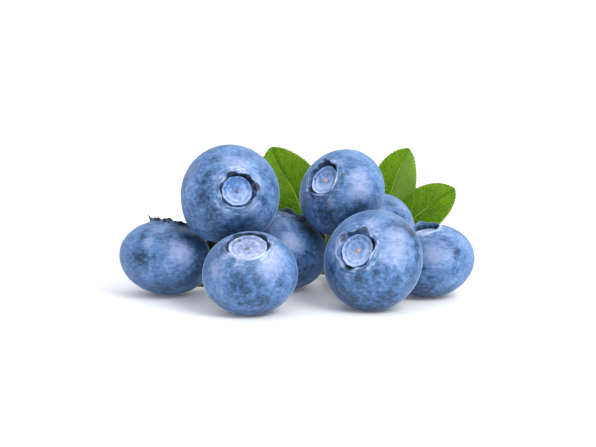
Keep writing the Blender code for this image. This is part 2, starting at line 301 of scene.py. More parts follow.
# %% Profile of the crown
CROWN_PROFILE = (
    (1.22, 0.000, 0.00), (1.12, 0.004, 0.00), (1.05, 0.011, 0.05), (1.02, 0.019, 0.25),
    (1.00, 0.026, 0.60), (0.985, 0.032, 0.95), (0.970, 0.034, 1.00), (0.955, 0.029, 0.97),
    (0.945, 0.010, 0.80), (0.935, -0.016, 0.52), (0.92, -0.042, 0.24), (0.895, -0.064, 0.08),
    (0.870, -0.070, 0.00), (0.845, -0.060, 0.00), (0.820, -0.036, 0.00), (0.800, -0.014, 0.00),
    (0.775, -0.004, 0.00), (0.740, -0.008, 0.00), (0.70, -0.022, 0.00), (0.645, -0.030, 0.00),
    (0.60, -0.024, 0.00), (0.56, -0.028, 0.00), (0.42, -0.036, 0.00), (0.24, -0.042, 0.00),
    (0.135, -0.046, 0.00), (0.100, -0.038, 0.00), (0.070, -0.024, 0.00), (0.035, -0.018, 0.00),
    (0.000, -0.017, 0.00),
)
DISC_EDGE = 0.80          # of the profile, as LIP_EDGE, the start of the drop
LIP_EDGE = 0.955
PROFILE_END = 1.3
PROFILE_STEPS = 3
CROWN_RINGS = (len(CROWN_PROFILE) - 1) * PROFILE_STEPS
LOBE_HALF_WIDTH = 29.0
LOBE_CURL = 0.35          # how far a lobe's tip turns down again
UPRIGHT = 0.92            # a crown that points up more steeply is described from above


def lobe_turns(berry, axes):
    """Turn of each lobe in the crown's frame."""
    angles = np.radians([angle for angle, _ in berry.lobes])
    directions = np.array((np.cos(angles), np.sin(angles)))
    if berry.crown[2] > UPRIGHT:
        flat = axes.T[:, :2] @ directions
    else:
        seen = np.array(((axes.T @ SEEN_RIGHT)[:2], (axes.T @ SEEN_UP)[:2]))
        flat = np.linalg.solve(seen, directions)
    return np.arctan2(flat[1], flat[0])


def lobe_height(turn, berry, axes, draw):
    """Outline of the lobes round the rim: the collar between them and about 1 at a tip."""
    height = np.zeros(len(turn))
    for centre, (_, size) in zip(lobe_turns(berry, axes), berry.lobes):
        width = math.radians(LOBE_HALF_WIDTH * (0.6 + 0.4 * size) * draw.uniform(0.9, 1.1))
        away = np.abs((turn - centre + math.pi) % (2.0 * math.pi) - math.pi)
        height = np.maximum(height, size * np.clip(1.0 - away / width, 0.0, 1.0) ** 0.9)
    ripple = ripples(draw, 0.02, 0.06, turn, (9, 14, 23))
    height = np.maximum(height, berry.collar * (1.0 + 2.5 * ripple))
    return np.clip(height * (1.0 + ripple) + 0.3 * ripple, 0.0, None)


def crown_local(berry, station, turn, axes, seed):
    """Points of the crown in its own frame, and the lobe outline at each."""
    draw = np.random.default_rng(seed)
    profile = smooth_curve(CROWN_PROFILE, PROFILE_STEPS)[station]
    share, rise, weight = profile.T
    lobes = lobe_height(turn, berry, axes, draw)
    rise = rise - berry.depth * ease((LIP_EDGE - share) / 0.05)
    lean = math.radians(berry.lean)
    wobble = 1.0 + 0.012 * np.sin(2.0 * turn + seed) + 0.008 * np.sin(3.0 * turn + 2.0 * seed)
    ragged = ripples(draw, 0.006, 0.014, turn, (3, 5, 8, 13))
    wobble = wobble + ragged * ease((0.90 - share) / 0.05) * ease((share - 0.45) / 0.2)
    flat = np.interp(share, (0.0, DISC_EDGE, LIP_EDGE, PROFILE_END),
                     (0.0, berry.disc, LIP_EDGE, PROFILE_END))
    flat = flat * berry.rim * wobble
    shoulder = OBLATENESS * np.sqrt(1.0 - np.clip(flat, berry.rim, None) ** 2)
    flat = flat + weight * lobes * berry.lobe * math.cos(lean)
    height = shoulder + rise + weight * lobes * berry.lobe * math.sin(lean)
    height -= LOBE_CURL * weight * (lobes * berry.lobe) ** 2
    local = np.column_stack((flat * np.cos(turn), flat * np.sin(turn), height))
    return local * berry.radius, lobes, share


print("crown stations:", CROWN_RINGS)

# %% [markdown]
# ## Rubbed skin, thick bloom, painted shade and painted highlights
#
# The pale blue of a blueberry is a wax, its bloom, over a skin that is almost black. It
# is thick round the crown and where nothing touched the berry, and rubbed thin where
# berries and fingers did. The small patches can come from noise, but the large ones give
# each berry its face, so they are listed: how far to the right of and above the
# berry's middle, as seen from the front and in radii, then the size and the strength.
# Tables of the same kind say where the crown's dry husk and the painted shade in its
# ditch show, where brown spots are, and where the body bulges.

# %% Listed patches
# Dark patches are partly rubbed wax and partly painted shade on shaded sides, such as top_left's
# left side, the middle berry's lower right and the band inside front_right's lit right edge.
RUBBED_AND_SHADED = {
    "left": ((-0.50, -0.02, 0.24, 0.9), (-0.13, 0.05, 0.14, 0.6), (-0.48, 0.48, 0.10, 0.7),
        (0.49, 0.50, 0.12, 0.8), (0.72, -0.20, 0.22, 0.7), (0.50, -0.55, 0.20, 0.5)),
    "top_left": ((-0.50, 0.28, 0.22, 0.7), (-0.52, -0.08, 0.25, 0.7), (-0.38, -0.43, 0.20, 0.8),
        (0.80, -0.15, 0.13, 0.7), (-0.33, 0.74, 0.13, 0.5), (-0.10, -0.80, 0.30, 0.6),
        (0.72, 0.45, 0.08, 0.5)),
    "front_left": ((-0.28, -0.22, 0.22, 0.6), (0.21, -0.19, 0.10, 0.5), (-0.13, -0.54, 0.24, 0.5),
        (0.66, -0.14, 0.16, 0.6), (-0.66, 0.05, 0.06, 0.7), (0.30, -0.60, 0.20, 0.4)),
    "middle": ((0.55, -0.10, 0.20, 0.6), (0.30, -0.50, 0.40, 0.8), (0.10, 0.52, 0.12, 0.5)),
    "top_right": ((0.02, 0.43, 0.09, 0.7), (0.34, -0.30, 0.24, 0.8), (-0.72, -0.16, 0.13, 0.8),
        (0.78, 0.08, 0.08, 0.8), (0.13, -0.50, 0.25, 0.7), (-0.40, -0.55, 0.35, 0.8)),
    "front_right": ((-0.90, -0.17, 0.14, 0.9), (-0.38, -0.40, 0.12, 0.5), (0.02, -0.25, 0.10, 0.5),
        (-0.75, -0.22, 0.12, 0.6), (0.10, 0.80, 0.12, 0.6), (0.45, 0.74, 0.13, 0.8),
        (0.62, 0.68, 0.12, 1.0), (0.75, 0.52, 0.12, 1.0), (0.83, 0.30, 0.12, 1.0),
        (0.85, 0.08, 0.10, 0.9), (0.33, -0.76, 0.10, 0.6), (0.50, -0.50, 0.50, 0.4)),
    "back_right": ((0.54, 0.50, 0.14, 0.9), (0.35, 0.75, 0.14, 0.5), (0.80, -0.30, 0.30, 0.5)),
    "right": ((-0.27, -0.18, 0.11, 1.0), (-0.04, -0.35, 0.08, 0.8), (0.58, 0.20, 0.11, 0.7),
        (0.32, 0.55, 0.10, 0.6), (0.44, -0.24, 0.09, 0.5), (-0.10, -0.70, 0.25, 0.6)),
}
# Pale patches are partly thick wax and partly painted highlights, pale windows where the soft key
# light shines, mostly above and to the right of a berry's middle.
BLOOMED_AND_HIGHLIT = {
    "left": ((0.38, 0.17, 0.30, 0.9), (-0.32, 0.37, 0.14, 0.6), (-0.10, 0.68, 0.18, 0.6)),
    "top_left": ((-0.05, 0.74, 0.20, 0.5), (0.20, 0.64, 0.30, 0.8), (0.66, 0.20, 0.17, 0.8),
        (-0.78, 0.46, 0.22, 0.6), (0.56, -0.30, 0.18, 0.7), (-0.20, 0.34, 0.18, 0.5)),
    "front_left": ((-0.74, 0.12, 0.22, 0.8), (0.48, 0.24, 0.34, 1.0), (-0.20, 0.22, 0.15, 0.6),
        (0.62, 0.52, 0.20, 1.0), (-0.58, 0.42, 0.13, 0.9)),
    "middle": ((0.24, 0.20, 0.24, 0.9), (-0.2, 0.55, 0.20, 0.5)),
    "top_right": ((0.36, 0.34, 0.26, 0.9), (0.38, 0.05, 0.24, 0.9), (-0.15, 0.74, 0.15, 0.6),
        (-0.30, -0.26, 0.12, 0.7), (-0.88, -0.06, 0.12, 0.5)),
    "front_right": ((0.46, 0.50, 0.26, 1.0), (0.46, 0.28, 0.26, 1.0), (-0.74, 0.50, 0.16, 0.9),
        (-0.05, 0.80, 0.20, 0.8), (-0.72, -0.06, 0.12, 0.8), (0.24, 0.08, 0.20, 0.6)),
    "back_right": ((0.65, 0.65, 0.15, 0.5), (0.85, 0.30, 0.15, 0.5)),
    "right": ((0.02, 0.20, 0.30, 0.9), (0.36, 0.17, 0.14, 0.6), (0.24, 0.44, 0.10, 0.6)),
}
# Dark patches of the crowns are dry husk on the lobes, and painted shade on the side of the ditch
# that is in shade.
HUSKED_AND_SHADED = {
    "top_left": ((-0.04, 0.42, 0.10, 1.0), (0.12, 0.42, 0.12, 0.9), (0.30, 0.38, 0.12, 1.0),
        (0.42, 0.27, 0.12, 1.0), (0.54, 0.13, 0.10, 1.0), (0.46, -0.03, 0.10, 0.7),
        (-0.17, 0.15, 0.09, 0.6), (-0.15, -0.21, 0.10, 0.8), (0.38, -0.22, 0.09, 0.5)),
    "front_left": ((0.00, 0.82, 0.16, 0.9), (-0.24, 0.77, 0.14, 0.9), (-0.44, 0.65, 0.11, 0.7),
        (0.24, 0.77, 0.14, 0.9), (0.36, 0.62, 0.11, 0.7), (-0.50, 0.56, 0.09, 0.6),
        (-0.08, 0.40, 0.08, 0.7)),
    "top_right": ((-0.32, 0.69, 0.11, 1.0), (-0.45, 0.58, 0.10, 0.9), (-0.21, 0.58, 0.11, 1.0),
        (-0.59, 0.47, 0.09, 0.8), (-0.67, 0.40, 0.10, 0.6), (-0.70, 0.24, 0.10, 0.4),
        (-0.67, 0.06, 0.10, 1.0), (-0.33, 0.07, 0.10, 1.0), (-0.23, 0.18, 0.07, 0.8),
        (-0.14, 0.42, 0.10, 0.9)),
    "front_right": ((-0.17, 0.65, 0.11, 1.0), (-0.32, 0.61, 0.10, 0.8), (-0.46, 0.56, 0.09, 0.8),
        (-0.62, 0.52, 0.10, 1.0), (-0.60, 0.44, 0.08, 0.8), (-0.72, 0.15, 0.10, 0.4),
        (-0.50, -0.14, 0.09, 1.0), (-0.12, -0.13, 0.09, 1.0), (-0.15, 0.03, 0.08, 0.9),
        (0.00, 0.35, 0.12, 1.0)),
    "right": ((-0.24, 0.72, 0.08, 1.0), (-0.12, 0.73, 0.08, 1.0), (0.00, 0.73, 0.08, 1.0),
        (0.12, 0.72, 0.08, 1.0)),
}
SPOTS = {
    "front_left": ((-0.22, 0.69, 0.045, 0.9), (-0.44, 0.64, 0.035, 0.7), (-0.35, 0.70, 0.018, 0.6)),
    "front_right": ((-0.37, 0.41, 0.026, 0.9), (-0.31, 0.425, 0.022, 0.8)),
    "top_left": ((0.20, -0.24, 0.030, 0.8), (-0.16, 0.02, 0.030, 0.5)),
    "top_right": ((-0.60, 0.30, 0.040, 0.6),),
}
BULGES = {
    "top_left": ((-0.72, -0.69, 0.42, 0.058),),
    "left": ((0.78, 0.56, 0.36, 0.050),),
}


def patches(directions, rows):
    """Strength of listed patches at directions from the berry's centre."""
    strength = np.zeros(len(directions))
    for right, up, size, amount in rows:
        depth = math.sqrt(max(1.0 - right ** 2 - up ** 2, 0.0))
        middle = right * SEEN_RIGHT + up * SEEN_UP + depth * TO_CAMERA
        away = np.linalg.norm(directions - middle, axis=1)
        strength = np.maximum(strength, amount * np.exp(-(away / size) ** 2.6))
    return strength


def seen_patches(offsets, rows):
    """Strength of listed patches where points are seen, in radii from the middle."""
    strength = np.zeros(len(offsets))
    for right, up, size, amount in rows:
        away = np.hypot(offsets @ SEEN_RIGHT - right, offsets @ SEEN_UP - up)
        strength = np.maximum(strength, amount * np.exp(-(away / size) ** 4))
    return strength


print("patches:", sum(len(rows) for table in (RUBBED_AND_SHADED, BLOOMED_AND_HIGHLIT, HUSKED_AND_SHADED, SPOTS, BULGES)
                      for rows in table.values()))

# %% [markdown]
# ## Make the eight berries
#
# Body and crown are one skin, because a berry's crown grows as one with it. Numbers that
# are kept on the mesh, the masks, tell the material where things are: where the wax is
# rubbed or thick, with painted shade in part of the dark patches and on the undersides
# and painted highlights in part of the pale ones, how far out from the crown's middle and
# how low on the disc a point lies, for the disc's painted shade, where the ring of arcs
# round the crown, its pale lip and its dry husk are, with painted shade in its ditch,
# which part is the disc, the style's stub or the stem scar, where brown spots are, and
# how close the next berry is, for painted shade where berries touch.

# %% Make the berries
REST_HEIGHT = 0.0
TOUCH_FADE = 2.0
SOFT_EDGE = 0.03
UNDERSIDE_SHADE = 0.52          # how dark the undersides are painted, as painted shade
REACH_SCALE = 0.5
BODY_SHARE = 9.0          # share of the rim given to points on the berry's lower half


# The skin's painted shade between berries follows this closeness.
def closeness(points, name):
    """How near each point is to a neighbouring berry, from 0 to 1 where they touch."""
    near = np.zeros(len(points))
    for other, berry in BERRIES.items():
        if other == name:
            continue
        away = (points - np.array(berry.centre)) @ crown_frame(berry.crown)
        away[:, 2] /= OBLATENESS
        gap = np.linalg.norm(away, axis=1) - berry.radius
        near = np.maximum(near, np.exp(-np.clip(gap, 0.0, None) / TOUCH_FADE))
    return near


def store_berry_masks(obj, name, berry, parts):
    """Write the masks that the skin's material reads."""
    share, lobes, angle, directions, in_crown, points = parts
    offsets = (points - np.array(berry.centre)) / berry.radius
    ditch = in_crown * ease((0.970 - share) / SOFT_EDGE) * ease((share - 0.785) / SOFT_EDGE)
    flap = np.clip(lobes * 2.2 - 0.2, 0.0, 1.0) * ease((1.055 - share) / SOFT_EDGE)
    flap = flap * in_crown * (share > 0.93)
    # Painted shade on the shaded side of the ditch, joined with the dark of the dry husk.
    dark = seen_patches(offsets, HUSKED_AND_SHADED.get(name, ()))
    husk = np.maximum(ditch * np.maximum(berry.husk_in, dark),
                      flap * np.maximum(berry.husk_out, 0.85 * dark))
    lip = berry.lip * in_crown * band(share, 1.003, 0.040) * (1.0 - 0.8 * dark)
    # Painted shade on the disc: its upper part as seen from the front is darker, its lower part
    # paler.
    crown_up = unit(berry.crown) @ SEEN_UP * OBLATENESS
    disc_shade_gradient = 0.5 + 0.5 * (crown_up - offsets @ SEEN_UP) / (berry.rim * berry.disc)
    halo = ease((1.65 - share) / 0.6) * ease((share - 1.0) / 0.04)
    # Painted shade on the undersides, kept in the same mask as the rubbed wax.
    low = UNDERSIDE_SHADE * ease((-directions[:, 2] - 0.25) / 0.7)
    for mask, values in {
            "husk": husk, "lip": lip, "disc_shade_gradient": disc_shade_gradient, "reach": REACH_SCALE * share,
            "rim_share": np.where(in_crown > 0.5, share, 1.0),
            "disc": in_crown * ease((0.84 - share) / SOFT_EDGE),
            "style": in_crown * ease((0.115 - share) / SOFT_EDGE),
            "scar": (1.0 - in_crown) * ease((math.radians(6.5) - angle) / SOFT_EDGE),
            "touch": closeness(points, name),
            "rubbed_and_shaded": np.maximum(patches(directions, RUBBED_AND_SHADED[name]), low),
            "bloomed_and_highlit": patches(directions, BLOOMED_AND_HIGHLIT[name]),
            "halo": (0.45 + 0.50 * berry.lip) * halo,
            "spot": in_crown * seen_patches(offsets, SPOTS.get(name, ()))}.items():
        store_mask(obj, mask, values)


def make_berry(name, berry, seed):
    """Make one berry in its place."""
    obj, ring, turn = add_ball("berry_" + name + "_skin", TURNS, BODY_RINGS + CROWN_RINGS)
    axes = crown_frame(berry.crown)
    in_crown = ring > BODY_RINGS
    angle = body_angles(berry.rim)[np.minimum(ring, BODY_RINGS)]
    local = body_local(berry, angle, turn, axes, seed, BULGES.get(name, ()))
    station = np.clip(ring - BODY_RINGS, 0, CROWN_RINGS)
    crown, lobes, share = crown_local(berry, station, turn, axes, seed)
    local[in_crown] = crown[in_crown]
    outward = local @ axes.T
    directions = outward / np.linalg.norm(outward, axis=1)[:, None]
    points = outward + np.array(berry.centre)
    points[:, 2] = np.maximum(points[:, 2], REST_HEIGHT)
    place_points(obj, points)
    body_share = np.where(angle > math.pi / 2, np.sin(angle) / berry.rim, BODY_SHARE)
    share = np.where(in_crown, share, body_share)
    parts = (share, lobes, angle, directions, in_crown.astype(float), points)
    store_berry_masks(obj, name, berry, parts)
    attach(obj, "root")
    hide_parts("berry_" + name)
    return obj


berries = {name: make_berry(name, berry, seed)
           for seed, (name, berry) in enumerate(BERRIES.items(), start=1)}
for obj in berries.values():
    describe(obj)

# %% [markdown]
# ## The leaves
#
# A blueberry leaf is a thin oval blade with a fine saw edge, folded a little along its
# midrib, on a short petiole. A flat grid with a Solidify modifier would have an even
# thickness and a square edge. Here each ring of the ball is a section of the leaf: round
# in the petiole, then flat with a rib underneath, and thin at the margin.

# %% Rows of leaves
Leaf = namedtuple("Leaf", "half_width fold facing curl route")
LEAVES = {
    "left": Leaf(5.0, 12.0, (0.10, -0.95, 0.30), 0.35,
                 ((3.64, 20.60, 2.92), (2.81, 19.87, 6.60), (1.11, 19.47, 10.10),
                  (-0.69, 19.47, 14.30), (-2.89, 20.17, 18.10), (-4.59, 21.37, 21.60))),
    "upper_right": Leaf(4.3, 20.0, (0.00, -0.95, 0.30), 0.30,
                        ((9.76, 21.51, 3.27), (13.71, 22.37, 6.00), (15.41, 22.77, 9.60),
                         (16.91, 23.07, 13.40), (18.31, 23.47, 17.40), (20.01, 24.27, 21.00))),
    "right": Leaf(4.05, 14.0, (-0.10, -0.90, 0.42), 0.30,
                  ((13.61, 20.18, 3.77), (16.91, 19.57, 5.60), (19.61, 19.37, 8.10),
                   (22.61, 19.57, 10.60), (25.41, 20.17, 12.60), (28.11, 21.17, 14.20))),
}
PETIOLE_SHARE = 0.14
WIDEST_AT = 0.50
LEAF_TURNS = 96
LEAF_RINGS = 190
LEAF_POINTS = 400
CURVE_STEPS = 24
TIP_CROWDING = 1.08       # over 1, the rings lie closer together at the tip
MIDRIB_RADIUS = 0.35
GROOVE_DEPTH = 0.10
PUFF_HEIGHT = 0.05        # of the blade between two veins
BLADE_HALF_THICKNESS = 0.12
TOOTH_LENGTH = 0.20
TEETH = 34
VEIN_PAIRS = 8.0
VEIN_SLANT = 2.1
VEIN_CURVE = 0.85


def even_route(points, count):
    """Points at even distances along a smooth curve, and the direction at each."""
    path = smooth_curve(points, CURVE_STEPS)
    steps = np.linalg.norm(np.diff(path, axis=0), axis=1)
    along = np.concatenate(((0.0,), np.cumsum(steps)))
    places = np.linspace(0.0, along[-1], count)
    route = np.column_stack([np.interp(places, along, path[:, axis]) for axis in range(3)])
    direction = np.gradient(route, axis=0)
    return route, direction / np.linalg.norm(direction, axis=1)[:, None]


def blade_outline(share):
    """Half width of the blade, as a share of its widest, along its length."""
    low = (1.0 - np.clip(1.0 - share / WIDEST_AT, 0.0, 1.0) ** 1.9) ** 1.15
    past = np.clip((share - WIDEST_AT) / (1.0 - WIDEST_AT), 0.0, 1.0)
    return np.where(share < WIDEST_AT, low, (1.0 - past ** 2.4) ** 0.74)


print("leaf rings:", LEAF_RINGS)

# %% Make the leaves
def vein_phase(blade, across):
    """Number that is whole on each lateral vein, which leaves the midrib at a slant."""
    return blade * VEIN_PAIRS - np.abs(across) ** VEIN_CURVE * VEIN_SLANT


def leaf_section(leaf, share, turn):
    """Side and face offsets of a leaf's points from its midrib, and where they are."""
    blade = np.clip((share - PETIOLE_SHARE) / (1.0 - PETIOLE_SHARE), 0.0, 1.0)
    rib = MIDRIB_RADIUS * (1.25 - 0.85 * share) * np.minimum(1.0, (1.0 - share) * 12.0)
    across = np.where(turn >= 0.0, 1.0 - 2.0 * turn / math.pi, 1.0 + 2.0 * turn / math.pi)
    side_up = np.where(turn >= 0.0, 1.0, -1.0)
    saw = (blade * TEETH) % 1.0
    teeth = TOOTH_LENGTH * (saw ** 1.5) * np.abs(across) ** 14 * ease(blade / 0.2)
    width = leaf.half_width * blade_outline(blade)
    side = across * (width + teeth)
    thin = BLADE_HALF_THICKNESS * (1.0 - 0.85 * np.abs(across) ** 8)
    under = rib * band(side, 0.0, 0.8 * rib + 0.05) * (side_up < 0)
    groove = GROOVE_DEPTH * band(side, 0.0, 0.22) * (side_up > 0)
    phase = vein_phase(blade, across)
    puff = PUFF_HEIGHT * np.sin(math.pi * (phase % 1.0)) ** 0.8 * ease(np.abs(across) / 0.12)
    puff *= ease((1.0 - np.abs(across)) / 0.25) * ease(blade / 0.1)
    fold = math.radians(leaf.fold) * ease(blade / 0.3)
    bowl = leaf.curl * across ** 2 * np.sin(math.pi * blade)
    lift = np.abs(side) * np.sin(fold) - bowl + puff - groove
    face = lift + side_up * thin - under
    flat_blend = ease(blade / 0.05)
    side = flat_blend * side * np.cos(fold) + (1.0 - flat_blend) * rib * np.cos(turn)
    face = flat_blend * face + (1.0 - flat_blend) * rib * np.sin(turn)
    return side, face, blade, across


def make_leaf(name, leaf):
    """Make one leaf, blade and petiole in one piece."""
    obj, ring, turn = add_ball("leaf_" + name + "_blade", LEAF_TURNS, LEAF_RINGS)
    share = ring / LEAF_RINGS
    share = 1.0 - (1.0 - share) ** TIP_CROWDING
    route, direction = even_route(leaf.route, LEAF_POINTS)
    index = np.rint(share * (LEAF_POINTS - 1)).astype(int)
    places = np.linspace(0, 1, LEAF_POINTS)
    centre = np.column_stack([np.interp(share, places, route[:, axis]) for axis in range(3)])
    across_axis = np.cross(unit(leaf.facing), direction[index])
    across_axis /= np.linalg.norm(across_axis, axis=1)[:, None]
    face_axis = np.cross(direction[index], across_axis)
    side, face, blade, across = leaf_section(leaf, share, turn)
    pole = (ring == 0) | (ring == LEAF_RINGS)
    side[pole], face[pole] = 0.0, 0.0
    place_points(obj, centre + across_axis * side[:, None] + face_axis * face[:, None])
    store_mask(obj, "along", blade)
    store_mask(obj, "across", 0.5 + 0.5 * across)
    store_mask(obj, "petiole", 1.0 - ease((share - PETIOLE_SHARE) / 0.03))
    store_mask(obj, "underside", (turn < 0.0).astype(float))
    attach(obj, "root")
    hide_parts("leaf_" + name)
    return obj


leaves = {name: make_leaf(name, leaf) for name, leaf in LEAVES.items()}
for obj in leaves.values():
    describe(obj)

# %% [markdown]
# ## Racemes and pedicels
#
# The berries hang on thin green stalks: a pedicel to each berry, and racemes that carry
# the pedicels from the twig. A curve with a round bevel would give an even hose. A real
# stalk swells where it branches and where it meets the berry, and it is never quite
# straight or round, so each is again a ball drawn out along its route.

# %% Routes of the stalks
ROUTES = {
    # raceme_left and raceme_back run behind gaps between berries, where their dark stalks stand in
    # for the shade there, as painted shade.
    "raceme_left": ((-9.56, 19.68, 2.20), (-10.39, 14.87, 5.60), (-12.39, 9.87, 8.20),
                    (-15.79, 4.67, 8.50), (-14.69, 0.97, 6.40), (-12.99, -2.23, 4.70),
                    (-11.69, -6.23, 3.10)),
    "raceme_back": ((2.13, 19.36, 2.51), (4.81, 18.27, 3.40), (5.46, 16.37, 6.20),
                    (6.11, 13.77, 9.80), (5.81, 11.37, 12.80)),
    "raceme_right": ((5.28, 19.46, 1.54), (6.11, 14.37, 1.40), (5.71, 8.17, 1.20),
                     (6.51, 1.87, 1.70), (7.41, -3.43, 2.40)),
    "pedicel_left": ((-14.65, 1.74, 5.72), (-13.79, 1.97, 3.20), (-15.19, 1.57, 0.90),
                     (-17.26, 0.40, 1.09)),
    "pedicel_top_left": ((-11.40, 10.47, 8.86), (-10.59, 7.37, 13.00), (-9.79, 4.17, 16.60),
                         (-9.88, 1.30, 17.14)),
    "pedicel_front_left": ((-11.47, -6.75, 2.92), (-10.59, -8.83, 2.20), (-9.47, -11.29, 2.67)),
    "pedicel_middle": ((5.02, 10.82, 1.16), (1.21, 11.37, 0.80), (-1.59, 9.57, 0.90),
                       (-2.35, 8.04, 1.24)),
    "pedicel_top_right": ((6.08, 11.18, 13.30), (7.81, 9.97, 16.40), (9.61, 7.67, 18.10),
                          (10.22, 5.47, 18.29)),
    "pedicel_front_right": ((7.80, -3.89, 2.40), (9.61, -6.03, 2.40), (11.45, -8.10, 3.39)),
    "pedicel_back_right": ((7.03, 15.45, 1.35), (9.21, 16.57, 1.20), (12.01, 16.77, 1.60),
                           (13.35, 15.66, 2.59)),
    "pedicel_right": ((7.60, 1.21, 1.44), (10.01, -0.43, 0.90), (14.41, -1.43, 0.80),
                      (17.24, -2.11, 1.06)),
}
RACEME_RADII = (0.65, 0.55, 0.5, 0.5, 0.45)
PEDICEL_RADII = (0.5, 0.4, 0.36, 0.4)
JOIN_LENGTH = 0.35        # how far a stalk is carried on into what it grows from
RACEME_TIP = 0.1
RACEME_FORKS = (0.20, 0.38, 0.66, 0.80, 1.0)
ROUND_END = 0.6           # length of a stalk's rounded end, as a share of its radius
TWIST = 9.0               # of a stalk's ribs from end to end, in radians
FIRST_SIDE = (0.31, 0.17, 0.93)
STALK_TURNS = 28
STALK_RINGS = 110
FIRST_STALK_SEED = 20
print("stalks:", len(ROUTES))

# %% Make the stalks
def lengthen(route, start, end):
    """Carry a route on at both ends, so that a stalk meets what it grows from."""
    route = np.array(route)
    first = route[0] - route[1]
    last = route[-1] - route[-2]
    route[0] += first / np.linalg.norm(first) * start
    route[-1] += last / np.linalg.norm(last) * end
    return route


def carried_sides(direction):
    """Two side axes for each direction, carried along without a twist."""
    side = np.cross(direction[0], FIRST_SIDE)
    sides = []
    for along in direction:
        side = side - (side @ along) * along
        side = side / np.linalg.norm(side)
        sides.append(side)
    sides = np.array(sides)
    return sides, np.cross(direction, sides)


def draw_out(name, route, radius_at, turns, rings, seed):
    """Draw a ball out along a route. radius_at gives the radius at shares of its length."""
    obj, ring, turn = add_ball(name, turns, rings)
    centre, direction = even_route(route, rings + 1)
    side, up = carried_sides(direction)
    share = ring / rings
    length = np.linalg.norm(np.diff(centre, axis=0), axis=1).sum()
    radius = radius_at(share)
    from_end = np.minimum(share, 1.0 - share) * length
    past_end = np.clip(1.0 - from_end / (ROUND_END * radius), 0.0, 1.0)
    radius = radius * np.sqrt(1.0 - past_end ** 2)
    draw = np.random.default_rng(seed)
    radius = radius * (1.0 + ripples(draw, 0.01, 0.03, turn + TWIST * share, (2, 3, 5)))
    points = centre[ring] + side[ring] * (radius * np.cos(turn))[:, None]
    points += up[ring] * (radius * np.sin(turn))[:, None]
    place_points(obj, points)
    store_mask(obj, "along", share)
    return obj


def raceme_radius(share):
    """Radius along a raceme, which swells at its foot and where its pedicels leave."""
    radius = np.interp(share, np.linspace(0.0, 1.0, len(RACEME_RADII)), RACEME_RADII)
    for place in RACEME_FORKS:
        radius = radius + 0.10 * band(share, place, 0.022)
    return radius + 0.35 * band(share, 0.0, 0.045)


def pedicel_radius(share):
    """Radius along a pedicel, which widens into a cap where it meets the berry."""
    radius = np.interp(share, np.linspace(0.0, 1.0, len(PEDICEL_RADII)), PEDICEL_RADII)
    return radius + 0.22 * ease((share - 0.86) / 0.12) + 0.06 * band(share, 0.0, 0.05)


stalks = {}
for seed, (name, route) in enumerate(ROUTES.items(), start=FIRST_STALK_SEED):
    is_raceme = name.startswith("raceme")
    radius_rule = raceme_radius if is_raceme else pedicel_radius
    route = lengthen(route, JOIN_LENGTH, RACEME_TIP if is_raceme else JOIN_LENGTH)
    obj = draw_out(name + "_stalk", route, radius_rule, STALK_TURNS, STALK_RINGS, seed)
    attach(obj, "root")
    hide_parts(name)
    stalks[name] = obj
print("stalks made:", ", ".join(stalks))

# %% [markdown]
# Where a pedicel leaves the raceme there is a bract, a small dry scale that once wrapped
# the flower bud. Each is a flattened, cupped ball that ends in a point. It is joined to
# its raceme, because it grows on it. The bracts are painted almost black, so that those
# seen through the gaps between berries stand in for the shade there: painted shade.

# %% Add the bracts
Bract = namedtuple("Bract", "share axis length half_width")
BRACTS = {
    "raceme_left": (Bract(0.715, (0.30, -0.10, 0.95), 3.8, 1.10),
                    Bract(0.35, (-0.50, 0.30, 0.80), 2.0, 0.70)),
    "raceme_back": (Bract(0.32, (-0.44, -0.10, 0.90), 3.0, 0.90),
                    Bract(0.94, (-0.50, 0.40, 0.60), 1.6, 0.60)),
    "raceme_right": (Bract(0.37, (-0.60, 0.20, 0.75), 1.9, 0.65),
                     Bract(0.79, (0.30, 0.50, 0.80), 1.8, 0.60)),
}
BRACT_TURNS = 24
BRACT_RINGS = 36
BRACT_LIFT = 0.35
BRACT_HALF_THICKNESS = 0.07
ROUTE_POINTS = 200


def foot_on(route, share, lean):
    """Point and direction of a route at a share, and a lean made square to it."""
    places, directions = even_route(route, ROUTE_POINTS)
    index = int(share * (ROUTE_POINTS - 1))
    along = Vector(directions[index])
    return Vector(places[index]), along, (lean - lean.dot(along) * along).normalized()


def add_bract(name, bract):
    """Add one bract on the side of a raceme that its axis points to."""
    axis = Vector(bract.axis).normalized()
    foot, _, out = foot_on(ROUTES[name], bract.share, axis)
    foot = foot + out * BRACT_LIFT
    obj, ring, turn = add_ball("bract", BRACT_TURNS, BRACT_RINGS)
    height = ring / BRACT_RINGS
    half = bract.half_width * np.sin(math.pi * height ** 0.7) ** 0.85 * (1.0 - 0.25 * height)
    half[(ring == 0) | (ring == BRACT_RINGS)] = 0.0
    across = half * np.cos(turn)
    cup = 0.35 * across ** 2 / bract.half_width - 0.45 * height ** 2
    thick = BRACT_HALF_THICKNESS * np.sin(turn) * np.minimum(half * 8.0, 1.0)
    side = unit(np.cross(axis, (0.0, -1.0, 0.0)))
    points = np.outer(across, side) - np.outer(cup + thick, np.cross(side, axis))
    points += np.outer(height * bract.length, axis) + np.array(foot)
    place_points(obj, points)
    store_mask(obj, "bract", np.ones(len(points)))
    return obj


for name, rows in BRACTS.items():
    select_only(*[add_bract(name, bract) for bract in rows], stalks[name])
    bpy.ops.object.join()
    print(name, "with bracts:", len(stalks[name].data.polygons), "faces")

# %% [markdown]
# ## The twig
#
# The twig is last year's wood, with thin bark, a few buds, and a slanting cut where the
# sprig was taken from the bush. It is drawn out like the stalks, then its thick end is
# cut with a real bisect, which leaves the flat oval of pale wood that secateurs leave.

